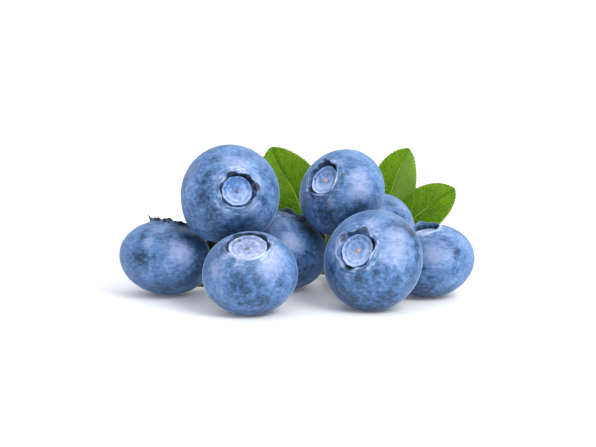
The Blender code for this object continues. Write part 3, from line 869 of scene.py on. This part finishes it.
# %% Make the twig
TWIG_ROUTE = ((-19.29, 21.67, 1.35), (-11.79, 21.07, 1.30), (-3.79, 20.67, 1.40),
              (3.21, 20.87, 1.50), (9.71, 20.77, 1.90), (15.71, 19.97, 2.70))
TWIG_RADII = (1.25, 1.2, 1.15, 1.1, 1.0, 0.6)
TWIG_NODES = (0.12, 0.28, 0.45, 0.61, 0.70, 0.83, 0.945)
TWIG_TURNS = 64
TWIG_RINGS = 260
TWIG_SEED = 50
BARK_INSET = 0.05         # keeps the swellings inside the plain solid's box
CUT_POINT = (-18.7, 21.6, 1.35)
CUT_NORMAL = (-0.86, 0.12, 0.50)
CUT_RIM = 0.08
CUT_STEP = (0.20, -0.04)  # width and depth of the second inset, in the wood


def twig_radius(share):
    """Radius along the twig, with a swelling under each bud and branch."""
    radius = np.interp(share, np.linspace(0.0, 1.0, len(TWIG_RADII)), TWIG_RADII)
    for place in TWIG_NODES:
        radius = radius + 0.13 * band(share, place, 0.016)
    return radius - BARK_INSET


def cut_slantwise(obj):
    """Cut the twig's end off on a slant and close it with a flat face."""
    select_only(obj)
    bpy.ops.object.mode_set(mode="EDIT")
    bpy.ops.mesh.select_all(action="SELECT")
    bpy.ops.mesh.bisect(plane_co=Vector(CUT_POINT) * MM, plane_no=CUT_NORMAL,
                        use_fill=True, clear_outer=True)
    bpy.ops.mesh.inset(thickness=CUT_RIM * MM, use_even_offset=False)
    width, depth = CUT_STEP
    bpy.ops.mesh.inset(thickness=width * MM, depth=depth * MM, use_even_offset=False)
    bpy.ops.object.mode_set(mode="OBJECT")


twig = draw_out("twig_bark", TWIG_ROUTE, twig_radius, TWIG_TURNS, TWIG_RINGS, TWIG_SEED)
cut_slantwise(twig)
describe(twig)

# %% [markdown]
# Each bud is a small pointed ball with a spiral of scale edges. One sits at the twig's
# end, and the others lean out from its sides. They grow on the twig, so they are joined
# to it. Then the faces of the cut are marked, so that the material can tell wood from
# bark: they look along the cut's normal and lie in its plane.

# %% Add the buds
Bud = namedtuple("Bud", "share tilt size")
BUDS = (Bud(0.12, 35.0, 1.0), Bud(0.45, 75.0, 1.15), Bud(0.90, 100.0, 0.8),
        Bud(0.985, 5.0, 1.35))
BUD_TURNS = 28
BUD_RINGS = 40
BUD_LENGTH = 1.9
BUD_HALF_WIDTH = 0.50
BUD_SCALES = 4.0
END_BUD = 0.97            # a bud past this share of the twig points straight along it
CUT_FACING = 0.9
CUT_NEARNESS = 0.2


def add_bud(bud):
    """Add one bud that leans out from the twig's side and points along it."""
    tilt = math.radians(bud.tilt)
    foot, along, out = foot_on(TWIG_ROUTE, bud.share,
                               Vector((0.0, math.cos(tilt), math.sin(tilt))))
    at_end = bud.share > END_BUD
    axis = along if at_end else (0.72 * along + 0.70 * out).normalized()
    foot = foot + out * (0.0 if at_end else float(twig_radius(bud.share)) * 0.72)
    obj, ring, turn = add_ball("bud", BUD_TURNS, BUD_RINGS)
    height = ring / BUD_RINGS
    scale_edge = ((height * BUD_SCALES + 0.5 * turn / math.pi) % 1.0) - 0.5
    width = BUD_HALF_WIDTH * np.sin(math.pi * height ** 0.75) ** 0.6 * (1.0 - 0.35 * height)
    width = width * (1.0 + 0.11 * scale_edge) * bud.size
    width[(ring == 0) | (ring == BUD_RINGS)] = 0.0
    local = np.column_stack((width * np.cos(turn), width * np.sin(turn),
                             BUD_LENGTH * height * bud.size))
    axes = np.array(axis.to_track_quat("Z", "Y").to_matrix())
    place_points(obj, local @ axes.T + np.array(foot))
    store_mask(obj, "along", np.zeros(len(height)))
    return obj


select_only(*[add_bud(bud) for bud in BUDS], twig)
bpy.ops.object.join()
centres = np.array([polygon.center for polygon in twig.data.polygons]) / MM
normals = np.array([polygon.normal for polygon in twig.data.polygons])
cut_axis = unit(CUT_NORMAL)
from_cut = np.abs((centres - np.array(CUT_POINT)) @ cut_axis)
cut_faces = ((normals @ cut_axis) > CUT_FACING) & (from_cut < CUT_NEARNESS)
layer = twig.data.attributes.new("cut", "FLOAT", "FACE")
layer.data.foreach_set("value", cut_faces.astype(np.float32))
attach(twig, "root")
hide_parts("twig")
print("twig with buds:", len(twig.data.polygons), "faces,", int(cut_faces.sum()), "at the cut")

# %% [markdown]
# ## Helpers for nodes
#
# The materials are node trees. These helpers add a node, fill its sockets with values or
# with another node's socket, and give back what it puts out, so that each material reads
# as a recipe. The one used most is paint, which lays one coat after another over a
# colour, as a painter does.

# %% Helpers for nodes
def fill(tree, node, sockets):
    """Fill a node's sockets with values, or link them to other nodes' sockets."""
    for name, value in sockets.items():
        if isinstance(value, bpy.types.NodeSocket):
            tree.links.new(value, node.inputs[name])
        else:
            node.inputs[name].default_value = value


def add_node(tree, kind, sockets=None, **settings):
    """Add a node, set it up, and fill its sockets."""
    node = tree.nodes.new(kind)
    for name, value in settings.items():
        setattr(node, name, value)
    fill(tree, node, sockets or {})
    return node


def calc(tree, operation, *values):
    """Add a Math node and return its result."""
    return add_node(tree, "ShaderNodeMath", dict(enumerate(values)),
                    operation=operation).outputs[0]


def times(tree, first, second):
    """Multiply two values."""
    return calc(tree, "MULTIPLY", first, second)


def add_up(tree, total, *terms):
    """Add terms to a number, each a value and its factor."""
    for value, factor in terms:
        total = calc(tree, "MULTIPLY_ADD", value, factor, total)
    return total


def clamp(tree, value):
    """Keep a value between 0 and 1."""
    return add_node(tree, "ShaderNodeClamp", {"Value": value}).outputs[0]


def fit(tree, value, low, high, to_low=0.0, to_high=1.0):
    """Move a value from one range to another, with a soft start and end."""
    node = add_node(tree, "ShaderNodeMapRange", {"Value": value, "From Min": low, "From Max": high,
                                                 "To Min": to_low, "To Max": to_high},
                    interpolation_type="SMOOTHSTEP")
    return node.outputs["Result"]


def mix(tree, factor, first, second, blend="MIX"):
    """Mix two colours."""
    node = add_node(tree, "ShaderNodeMix", {0: factor, 6: first, 7: second},
                    data_type="RGBA", blend_type=blend)
    return node.outputs[2]


def paint(tree, colour, *coats):
    """Lay coats over a colour one after another, each a strength and a colour."""
    for strength, coat in coats:
        colour = mix(tree, strength, colour, coat)
    return colour


def noise(tree, vector, size_mm, detail=3.0, rough=0.55):
    """Noise whose features are about size_mm wide."""
    node = add_node(tree, "ShaderNodeTexNoise", {"Vector": vector, "Scale": 1.0 / (size_mm * MM),
                                                 "Detail": detail, "Roughness": rough})
    return node.outputs[0]


def bump(tree, height, strength, depth_mm):
    """Turn a height into a normal."""
    return add_node(tree, "ShaderNodeBump", {"Height": height, "Strength": strength,
                                             "Distance": depth_mm * MM}).outputs["Normal"]


def read_mask(tree, name):
    """Read a number that is kept on the mesh."""
    return add_node(tree, "ShaderNodeAttribute", attribute_name=name).outputs["Fac"]


def object_place(tree, shift=(0.0, 0.0, 0.0), scale=(1.0, 1.0, 1.0)):
    """Object coordinates, moved so that each piece has its own part of a pattern."""
    place = add_node(tree, "ShaderNodeTexCoord").outputs["Object"]
    mapping = add_node(tree, "ShaderNodeMapping",
                       {"Vector": place, "Location": shift, "Scale": scale})
    return mapping.outputs["Vector"]


def new_material(name):
    """Start a material. Return it with its tree and its Principled shader."""
    material = bpy.data.materials.new(name)
    material.use_nodes = True
    tree = material.node_tree
    return material, tree, tree.nodes["Principled BSDF"]


def dress(obj, material):
    """Give an object one material."""
    obj.data.materials.clear()
    obj.data.materials.append(material)


print("node helpers ready")

# %% [markdown]
# ## The wax
#
# Bloom is not an even coat. Close up there are grains, small flecks where it has come
# off, streaks from a touch, and slow clouds. One group turns four noises of these sizes
# and the listed patches into the amount of wax, and every berry uses it with its own
# shift. The dark patches carry painted shade as well as rubbed wax, and the pale ones
# painted highlights as well as thick wax. A dark or pale patch is itself broken up by
# the flecks.

# %% The bloom group
BLOOM_SOCKETS = {"INPUT": {"Place": "Vector", "Rubbed_and_shaded": "Float", "Bloomed_and_highlit": "Float"},
                 "OUTPUT": {"Wax": "Float", "Grain": "Float"}}
CLOUD_DEPTH, FLECK_DEPTH, GRAIN_DEPTH, STREAK_DEPTH = 1.00, 0.80, 0.50, 0.60
RUBBED_AND_SHADED_DEPTH, BLOOMED_AND_HIGHLIT_DEPTH = 0.56, 0.24
# A noise is 0.5 on average, and so is the wax where no patch is set.
WAX_START = 0.5 - 0.5 * (CLOUD_DEPTH + FLECK_DEPTH + GRAIN_DEPTH + STREAK_DEPTH)


def make_bloom_group():
    """Build the group that says how much wax lies where, with the painted shade and painted
    highlights of the patches.
    """
    group = bpy.data.node_groups.new("wax_bloom", "ShaderNodeTree")
    for in_out, sockets in BLOOM_SOCKETS.items():
        for label, kind in sockets.items():
            group.interface.new_socket(label, in_out=in_out, socket_type="NodeSocket" + kind)
    given = group.nodes.new("NodeGroupInput").outputs
    place = given["Place"]
    drawn_out = add_node(group, "ShaderNodeMapping", {
        "Vector": place, "Rotation": (0.1, 0.5, 0.2), "Scale": (0.22, 1.0, 1.0)})
    clouds = noise(group, place, 4.6)
    flecks = noise(group, place, 0.85, 5.0, 0.66)
    grain = noise(group, place, 0.24, 3.0, 0.6)
    streaks = noise(group, drawn_out.outputs["Vector"], 0.42, 4.0, 0.6)
    rubbed_and_shaded = times(group, given["Rubbed_and_shaded"], fit(group, flecks, 0.30, 0.62, 1.0, 0.55))
    bloomed_and_highlit = times(group, given["Bloomed_and_highlit"], fit(group, flecks, 0.30, 0.65, 0.75, 1.0))
    wax = add_up(group, WAX_START, (clouds, CLOUD_DEPTH), (flecks, FLECK_DEPTH),
                 (grain, GRAIN_DEPTH), (streaks, STREAK_DEPTH), (rubbed_and_shaded, -RUBBED_AND_SHADED_DEPTH),
                 (bloomed_and_highlit, BLOOMED_AND_HIGHLIT_DEPTH))
    leave = group.nodes.new("NodeGroupOutput")
    fill(group, leave, {"Wax": clamp(group, wax), "Grain": grain})
    return group


bloom_group = make_bloom_group()
print("group:", bloom_group.name, "with", len(bloom_group.nodes), "nodes")

# %% [markdown]
# ## The berry's skin
#
# The amount of wax picks a colour between blue-black skin and pale lavender wax, and
# makes the bare skin glossier; through the patches it also carries painted shade and
# painted highlights. Then the rest is laid over it, coat by coat: painted highlights in
# soft windows, dull and pale arcs round the crown, the waxed disc with its rings and its
# painted shade, brown spots, painted shade where berries touch, the dry husk of ditch and
# lobes with painted shade in the ditch, the style's stub and the scar. The arcs come from
# a noise with a fourth axis, which is fed the distance from the crown's middle, so that it
# changes fast outwards and slowly round the crown.

# %% Colours of the skin
WAX_COLOURS = ((0.00, (0.011, 0.034, 0.070)), (0.25, (0.027, 0.081, 0.188)),
               (0.50, (0.077, 0.178, 0.392)), (0.72, (0.158, 0.284, 0.535)),
               (0.88, (0.290, 0.406, 0.655)), (1.00, (0.460, 0.535, 0.750)))
# Painted highlight, the pale window of the soft key light.
PAINTED_HIGHLIGHT = (0.300, 0.345, 0.560, 1.0)
# Painted shade where berries touch.
CONTACT_SHADE = (0.006, 0.012, 0.024, 1.0)
PALE_WAX = (0.560, 0.650, 0.860, 1.0)
DULL_WAX = (0.030, 0.080, 0.180, 1.0)
SPOT_BROWN = (0.075, 0.040, 0.035, 1.0)
# Dark of the dry husk, which is also the painted shade in the crown's ditch.
HUSK_AND_SHADE_DARK = (0.018, 0.033, 0.052, 1.0)
HUSK_BROWN = (0.070, 0.054, 0.050, 1.0)
SCAR_BROWN = (0.16, 0.11, 0.05, 1.0)
SHEEN_BLUE = (0.60, 0.78, 1.0, 1.0)
# Each disc's colour where its wax is thin and in painted shade, and where it is thick.
DISC_COLOURS = {"top_left": ((0.050, 0.155, 0.400), (0.370, 0.500, 0.800)),
                "front_left": ((0.130, 0.200, 0.400), (0.480, 0.550, 0.760)),
                "front_right": ((0.080, 0.190, 0.410), (0.400, 0.520, 0.800)),
                "right": ((0.120, 0.190, 0.380), (0.460, 0.530, 0.740))}
DISC_PLAIN = ((0.080, 0.190, 0.410), (0.420, 0.540, 0.800))
# How waxy the disc's rings are, at shares of the rim.
DISC_RINGS = ((0.00, 0.30), (0.26, 0.10), (0.42, 0.22), (0.53, 0.70), (0.59, 0.25),
              (0.645, 0.05), (0.70, 0.55), (0.76, 1.00), (0.84, 0.60))
STYLE_COLOURS = {"front_right": (0.62, 0.25, 0.12, 1.0), "top_right": (0.66, 0.28, 0.14, 1.0),
                 "top_left": (0.17, 0.14, 0.13, 1.0), "front_left": (0.16, 0.17, 0.19, 1.0)}
STYLE_PLAIN = (0.30, 0.19, 0.10, 1.0)
ARC_LENGTH = 1.25
ARC_DENSITY = 17.0
SKIN_MASKS = ("rubbed_and_shaded", "bloomed_and_highlit", "reach", "halo", "lip", "disc", "disc_shade_gradient", "rim_share",
              "spot", "touch", "husk", "style", "scar")
print("colours of the wax:", len(WAX_COLOURS))

# %% The skin's material
def ramp(tree, value, stops):
    """Pick a colour along a ramp of stops."""
    node = add_node(tree, "ShaderNodeValToRGB", {"Fac": value})
    elements = node.color_ramp.elements
    while len(elements) < len(stops):
        elements.new(0.5)
    for element, (place, colour) in zip(elements, stops):
        element.position = place
        element.color = (*colour, 1.0)
    return node.outputs["Color"]


def crown_arcs(tree, place, wax, grain, masks):
    """Strengths of the dull and of the pale arcs round the crown."""
    arcs = add_node(tree, "ShaderNodeTexNoise", {
        "Vector": place, "W": times(tree, masks["reach"], ARC_DENSITY * MM),
        "Scale": 1.0 / (ARC_LENGTH * MM), "Detail": 3.0, "Roughness": 0.6},
        noise_dimensions="4D").outputs[0]
    halo = times(tree, masks["halo"], fit(tree, wax, 0.25, 0.75, 0.45, 1.0))
    dull = times(tree, halo, fit(tree, arcs, 0.34, 0.48, 0.60, 0.0))
    pale = times(tree, halo, fit(tree, arcs, 0.49, 0.68))
    lip = times(tree, masks["lip"], fit(tree, grain, 0.30, 0.60, 0.70, 1.0))
    return dull, calc(tree, "MAXIMUM", pale, lip)


def disc_finish(tree, name, place, masks):
    """Colour of the crown's disc, with painted shade that darkens its upper part and leaves its
    lower edge pale, and waxier rings.
    """
    thin, thick = DISC_COLOURS.get(name, DISC_PLAIN)
    rings = ramp(tree, masks["rim_share"], [(at, (level,) * 3) for at, level in DISC_RINGS])
    wax = add_up(tree, -1.50, (noise(tree, place, 0.70, 4.0, 0.60), 2.2), (rings, 0.62),
                 (masks["disc_shade_gradient"], 1.10))
    return mix(tree, clamp(tree, wax), (*thin, 1.0), (*thick, 1.0))


def make_skin(name, seed):
    """Make the skin material of one berry."""
    material, tree, shader = new_material("berry_" + name)
    place = object_place(tree, shift=(0.11 * seed, 0.07 * seed, -0.05 * seed))
    masks = {mask: read_mask(tree, mask) for mask in SKIN_MASKS}
    wax, grain = add_node(tree, "ShaderNodeGroup", {
        "Place": place, "Rubbed_and_shaded": masks["rubbed_and_shaded"], "Bloomed_and_highlit": masks["bloomed_and_highlit"]},
        node_tree=bloom_group).outputs
    # Painted highlights: pale windows of the soft key light where the patches are pale.
    painted_highlight = times(tree, masks["bloomed_and_highlit"], fit(tree, wax, 0.15, 0.75, 0.28, 0.74))
    dull, pale = crown_arcs(tree, place, wax, grain, masks)
    husk = times(tree, masks["husk"], fit(tree, noise(tree, place, 0.22), 0.25, 0.50, 0.75, 1.0))
    dry_and_shaded = mix(tree, fit(tree, noise(tree, place, 0.5), 0.54, 0.74), HUSK_AND_SHADE_DARK, HUSK_BROWN)
    # Coats of painted light among them: highlights in the windows, and shade on the disc, where
    # berries touch and in the ditch.
    skin = paint(tree, ramp(tree, wax, WAX_COLOURS),
                 (painted_highlight, PAINTED_HIGHLIGHT), (dull, DULL_WAX), (pale, PALE_WAX),
                 (masks["disc"], disc_finish(tree, name, place, masks)),
                 (times(tree, masks["spot"], 0.8), SPOT_BROWN),
                 (times(tree, masks["touch"], 0.94), CONTACT_SHADE), (husk, dry_and_shaded),
                 (masks["style"], STYLE_COLOURS.get(name, STYLE_PLAIN)),
                 (masks["scar"], SCAR_BROWN))
    gloss = fit(tree, wax, 0.1, 0.8, 0.42, 0.58)
    covered = calc(tree, "MAXIMUM", masks["touch"], husk)
    edge = add_node(tree, "ShaderNodeLayerWeight", {"Blend": 0.5}).outputs["Facing"]
    fill(tree, shader, {
        "Base Color": skin,
        "Roughness": calc(tree, "MAXIMUM", gloss, times(tree, husk, 0.75)),
        "Normal": bump(tree, grain, 0.25, 0.04),
        "IOR": 1.45,
        "Specular IOR Level": times(tree, fit(tree, covered, 0.0, 0.7, 0.5, 0.04),
                                    fit(tree, edge, 0.55, 1.0, 1.0, 0.15)),
        "Sheen Weight": times(tree, fit(tree, covered, 0.0, 0.45, 1.0, 0.0),
                              fit(tree, edge, 0.72, 1.0, 0.26, 1.0)),
        "Sheen Roughness": 0.30, "Sheen Tint": SHEEN_BLUE})
    return material


for seed, (name, obj) in enumerate(berries.items(), start=1):
    dress(obj, make_skin(name, seed))
print("skins:", len(berries))

# %% [markdown]
# ## Leaf green
#
# The blade is a vivid yellow green, brighter towards its tip. Pale veins run from the
# midrib to the margin, the green between them is dotted with fine cells, and the margin
# is lighter. The midrib is pale only near the leaf's base and then turns dark, painted
# shade in its groove. One half of the folded upper right leaf is painted lighter and
# greyer, painted light where that half faces the light. The pattern follows the blade
# through the numbers kept on its mesh.

# %% The leaf's material
LEAF_DARK = (0.024, 0.085, 0.0015, 1.0)
LEAF_BRIGHT = (0.135, 0.275, 0.004, 1.0)
LEAF_VEIN = (0.240, 0.380, 0.040, 1.0)
LEAF_EDGE = (0.260, 0.350, 0.020, 1.0)
# Painted light on the half of a folded blade that faces the light.
LEAF_LIT_GREY = (0.190, 0.330, 0.060, 1.0)
LEAF_UNDER = (0.160, 0.260, 0.060, 1.0)
PETIOLE_TINT = (0.300, 0.330, 0.060, 1.0)
CELL_SIZE = 0.50
RIB_FADE = 0.25
# A leaf's brightness, how much painted light makes each half lighter and greyer, and where
# its midrib turns dark with painted shade.
Tones = namedtuple("Tones", "brightness grey_low grey_high dark_from")
LEAF_TONES = {"left": Tones(1.02, 0.0, 0.0, 0.50), "upper_right": Tones(1.08, 0.50, 0.0, 0.80),
              "right": Tones(1.0, 0.0, 0.0, 0.55)}


def vein_masks(tree, along, side):
    """Thin lines on the lateral veins and on the midrib."""
    slant = times(tree, calc(tree, "POWER", side, VEIN_CURVE), VEIN_SLANT)
    phase = calc(tree, "SUBTRACT", times(tree, along, VEIN_PAIRS), slant)
    near = fit(tree, calc(tree, "PINGPONG", phase, 0.5), 0.0, 0.075, 1.0, 0.0)
    lateral = times(tree, near, fit(tree, side, 0.55, 0.98, 1.0, 0.25))
    return lateral, fit(tree, side, 0.008, 0.034, 1.0, 0.0)


def make_leaf_material(name, seed, tones):
    """Make one leaf's material."""
    material, tree, shader = new_material("leaf_" + name)
    place = object_place(tree, shift=(0.013 * seed, 0.0, 0.0))
    along, across = read_mask(tree, "along"), read_mask(tree, "across")
    side = calc(tree, "ABSOLUTE", calc(tree, "MULTIPLY_ADD", across, 2.0, -1.0))
    lateral, midrib = vein_masks(tree, along, side)
    clouds = noise(tree, place, 2.6)
    cells = fit(tree, add_node(tree, "ShaderNodeTexVoronoi", {
        "Vector": place, "Scale": 1.0 / (CELL_SIZE * MM)},
        feature="DISTANCE_TO_EDGE").outputs["Distance"], 0.0, 0.25)
    green = add_up(tree, -0.69, (fit(tree, along, 0.25, 0.95), 0.42), (clouds, 0.70),
                   (cells, 0.26), (noise(tree, place, 0.34, 3.0, 0.6), 0.90))
    # Painted shade: the midrib turns dark towards the tip, as shade in its groove.
    rib = mix(tree, fit(tree, along, tones.dark_from, tones.dark_from + RIB_FADE),
              LEAF_VEIN, LEAF_DARK)
    under = mix(tree, calc(tree, "MAXIMUM", lateral, midrib), LEAF_UNDER, LEAF_VEIN)
    # Painted light: one half of a folded blade is lighter and greyer.
    colour = paint(tree, LEAF_DARK, (clamp(tree, green), LEAF_BRIGHT),
                   (fit(tree, across, 0.46, 0.54, tones.grey_low, tones.grey_high), LEAF_LIT_GREY),
                   (times(tree, lateral, 0.22), LEAF_VEIN),
                   (fit(tree, side, 0.93, 0.99, 0.0, 0.60), LEAF_EDGE),
                   (times(tree, midrib, 0.75), rib), (read_mask(tree, "underside"), under),
                   (read_mask(tree, "petiole"), PETIOLE_TINT))
    brightness = (tones.brightness,) * 3 + (1.0,)
    relief = calc(tree, "SUBTRACT", times(tree, cells, 0.6), lateral)
    fill(tree, shader, {"Base Color": mix(tree, 1.0, colour, brightness, "MULTIPLY"),
                        "Roughness": fit(tree, clouds, 0.2, 0.8, 0.46, 0.60),
                        "Specular IOR Level": 0.10, "Normal": bump(tree, relief, 0.6, 0.07)})
    return material


for seed, (name, tones) in enumerate(LEAF_TONES.items(), start=1):
    dress(leaves[name], make_leaf_material(name, seed, tones))
print("leaf materials:", len(leaves))

# %% [markdown]
# ## Green stalks and brown bark
#
# Young stalks are smooth and green, with a red blush in places, and their bracts are
# dry and almost black, painted shade where they are seen through the gaps between
# berries. Year-old wood has thin brown bark with pale pores and fine cracks along
# it, and the cut shows pale wood with a darker pith.

# %% Materials of the stalks and the twig
STALK_GREEN = (0.085, 0.115, 0.025, 1.0)
STALK_PALE = (0.200, 0.220, 0.070, 1.0)
STALK_BLUSH = (0.070, 0.026, 0.020, 1.0)
# Almost black, painted shade where a bract is seen through a gap between berries.
BRACT_SHADE_DARK = (0.014, 0.012, 0.012, 1.0)
BRACT_BROWN = (0.070, 0.034, 0.022, 1.0)
BARK_DARK = (0.080, 0.042, 0.022, 1.0)
BARK_LIGHT = (0.260, 0.170, 0.100, 1.0)
BARK_OLIVE = (0.30, 0.25, 0.12, 1.0)
BARK_PORE = (0.420, 0.340, 0.240, 1.0)
WOOD_PALE = (0.640, 0.520, 0.300, 1.0)
PITH = (0.360, 0.240, 0.110, 1.0)
PITH_RADII = (0.22 * MM, 0.34 * MM)


def make_stalk_material(name, seed):
    """Make the material of one green stalk."""
    material, tree, shader = new_material(name)
    place = object_place(tree, shift=(0.0, 0.017 * seed, 0.0))
    fine = noise(tree, place, 0.25)
    dry_and_shaded = mix(tree, fit(tree, fine, 0.35, 0.65), BRACT_SHADE_DARK, BRACT_BROWN)
    colour = paint(tree, STALK_GREEN,
                   (fit(tree, noise(tree, place, 1.6), 0.35, 0.65), STALK_PALE),
                   (fit(tree, noise(tree, place, 3.5, 2.0), 0.48, 0.66, 0.0, 0.75), STALK_BLUSH),
                   (fit(tree, read_mask(tree, "along"), 0.90, 0.99, 0.0, 0.5), STALK_PALE),
                   (read_mask(tree, "bract"), dry_and_shaded))
    fill(tree, shader, {"Base Color": colour, "Roughness": fit(tree, fine, 0.3, 0.7, 0.42, 0.60),
                        "Normal": bump(tree, fine, 0.4, 0.05)})
    return material


def make_bark_material():
    """Make the twig's material: bark, pores, and pale wood at the cut."""
    material, tree, shader = new_material("twig_bark")
    place = object_place(tree)
    cut = read_mask(tree, "cut")
    fibres = noise(tree, object_place(tree, scale=(0.18, 1.0, 1.0)), 0.35, 5.0, 0.65)
    pores = noise(tree, object_place(tree, scale=(0.5, 1.0, 1.0)), 0.45, 1.0)
    from_middle = add_node(tree, "ShaderNodeVectorMath", {0: place, 1: Vector(CUT_POINT) * MM},
                           operation="DISTANCE").outputs["Value"]
    wood = paint(tree, PITH, (fit(tree, from_middle, *PITH_RADII), WOOD_PALE),
                 (fit(tree, noise(tree, place, 0.12, 2.0), 0.45, 0.7, 0.0, 0.35), PITH))
    colour = paint(tree, BARK_DARK, (fit(tree, fibres, 0.32, 0.68), BARK_LIGHT),
                   (fit(tree, noise(tree, place, 2.2), 0.4, 0.7, 0.0, 0.45), BARK_OLIVE),
                   (fit(tree, pores, 0.66, 0.72), BARK_PORE), (cut, wood))
    height = times(tree, fibres, calc(tree, "SUBTRACT", 1.0, cut))
    fill(tree, shader, {"Base Color": colour, "Roughness": fit(tree, fibres, 0.3, 0.7, 0.62, 0.86),
                        "Normal": bump(tree, height, 0.8, 0.12)})
    return material


for seed, (name, obj) in enumerate(stalks.items(), start=1):
    dress(obj, make_stalk_material(name, seed))
dress(twig, make_bark_material())
print("materials in all:", len(bpy.data.materials))

# %% [markdown]
# ## A white table and soft light
#
# The heap lies on white that has no edge, with only soft grey shadows. The floor runs far
# past the picture and glows a little, so that those shadows stay pale. The world is plain
# white for the camera but dimmer near the horizon for the berries, so that they keep
# their shape. One large soft light stands at the upper right of the camera, and a weak
# one behind the heap.

# %% Floor, world and lights
FLOOR_SIZE = 6.0
FLOOR_WHITE = (0.93, 0.93, 0.94, 1.0)
FLOOR_GLOW = 0.08
WORLD_LOW = 0.48
WORLD_HIGH = 1.15
SKY_BLUE = (0.95, 0.97, 1.0, 1.0)
PLAIN_WHITE = (1.0, 1.0, 1.0, 1.0)
WARM_WHITE = (1.0, 0.99, 0.97)
COOL_WHITE = (0.94, 0.97, 1.0)


def make_floor():
    """Lay a wide pale floor under the heap."""
    deselect_all()
    bpy.ops.mesh.primitive_plane_add(size=FLOOR_SIZE, location=(0.0, 0.0, 0.0))
    floor = bpy.context.object
    floor.name = "floor"
    material, tree, shader = new_material("floor")
    fill(tree, shader, {"Base Color": FLOOR_WHITE, "Roughness": 0.45, "Specular IOR Level": 0.35,
                        "Emission Color": PLAIN_WHITE, "Emission Strength": FLOOR_GLOW})
    dress(floor, material)


def make_world():
    """White for the camera, a soft sky for everything else."""
    world = bpy.data.worlds.new("white_room")
    bpy.context.scene.world = world
    world.use_nodes = True
    tree = world.node_tree
    tree.nodes.clear()
    height = add_node(tree, "ShaderNodeSeparateXYZ", {
        0: add_node(tree, "ShaderNodeTexCoord").outputs["Generated"]}).outputs["Z"]
    strength = fit(tree, height, 0.0, 0.8, WORLD_LOW, WORLD_HIGH)
    soft = add_node(tree, "ShaderNodeBackground", {"Color": SKY_BLUE, "Strength": strength})
    plain = add_node(tree, "ShaderNodeBackground", {"Color": PLAIN_WHITE})
    seen = add_node(tree, "ShaderNodeLightPath").outputs["Is Camera Ray"]
    blend = add_node(tree, "ShaderNodeMixShader", {0: seen, 1: soft.outputs[0],
                                                   2: plain.outputs[0]})
    add_node(tree, "ShaderNodeOutputWorld", {"Surface": blend.outputs[0]})


def add_softbox(name, place, size, power, colour):
    """Add a square area light that faces the heap."""
    data = bpy.data.lights.new(name, "AREA")
    data.size = size
    data.energy = power
    data.color = colour
    light = bpy.data.objects.new(name, data)
    light.location = place
    aim = CAMERA_TARGET - Vector(place)
    light.rotation_euler = aim.to_track_quat("-Z", "Y").to_euler()
    bpy.context.scene.collection.objects.link(light)


make_floor()
make_world()
add_softbox("key", (0.26, -0.30, 0.34), 0.26, 2.0, WARM_WHITE)
add_softbox("rim", (0.20, 0.40, 0.30), 0.30, 0.5, COOL_WHITE)
bpy.context.scene.view_settings.view_transform = "Standard"
print("floor, world and two lights set")
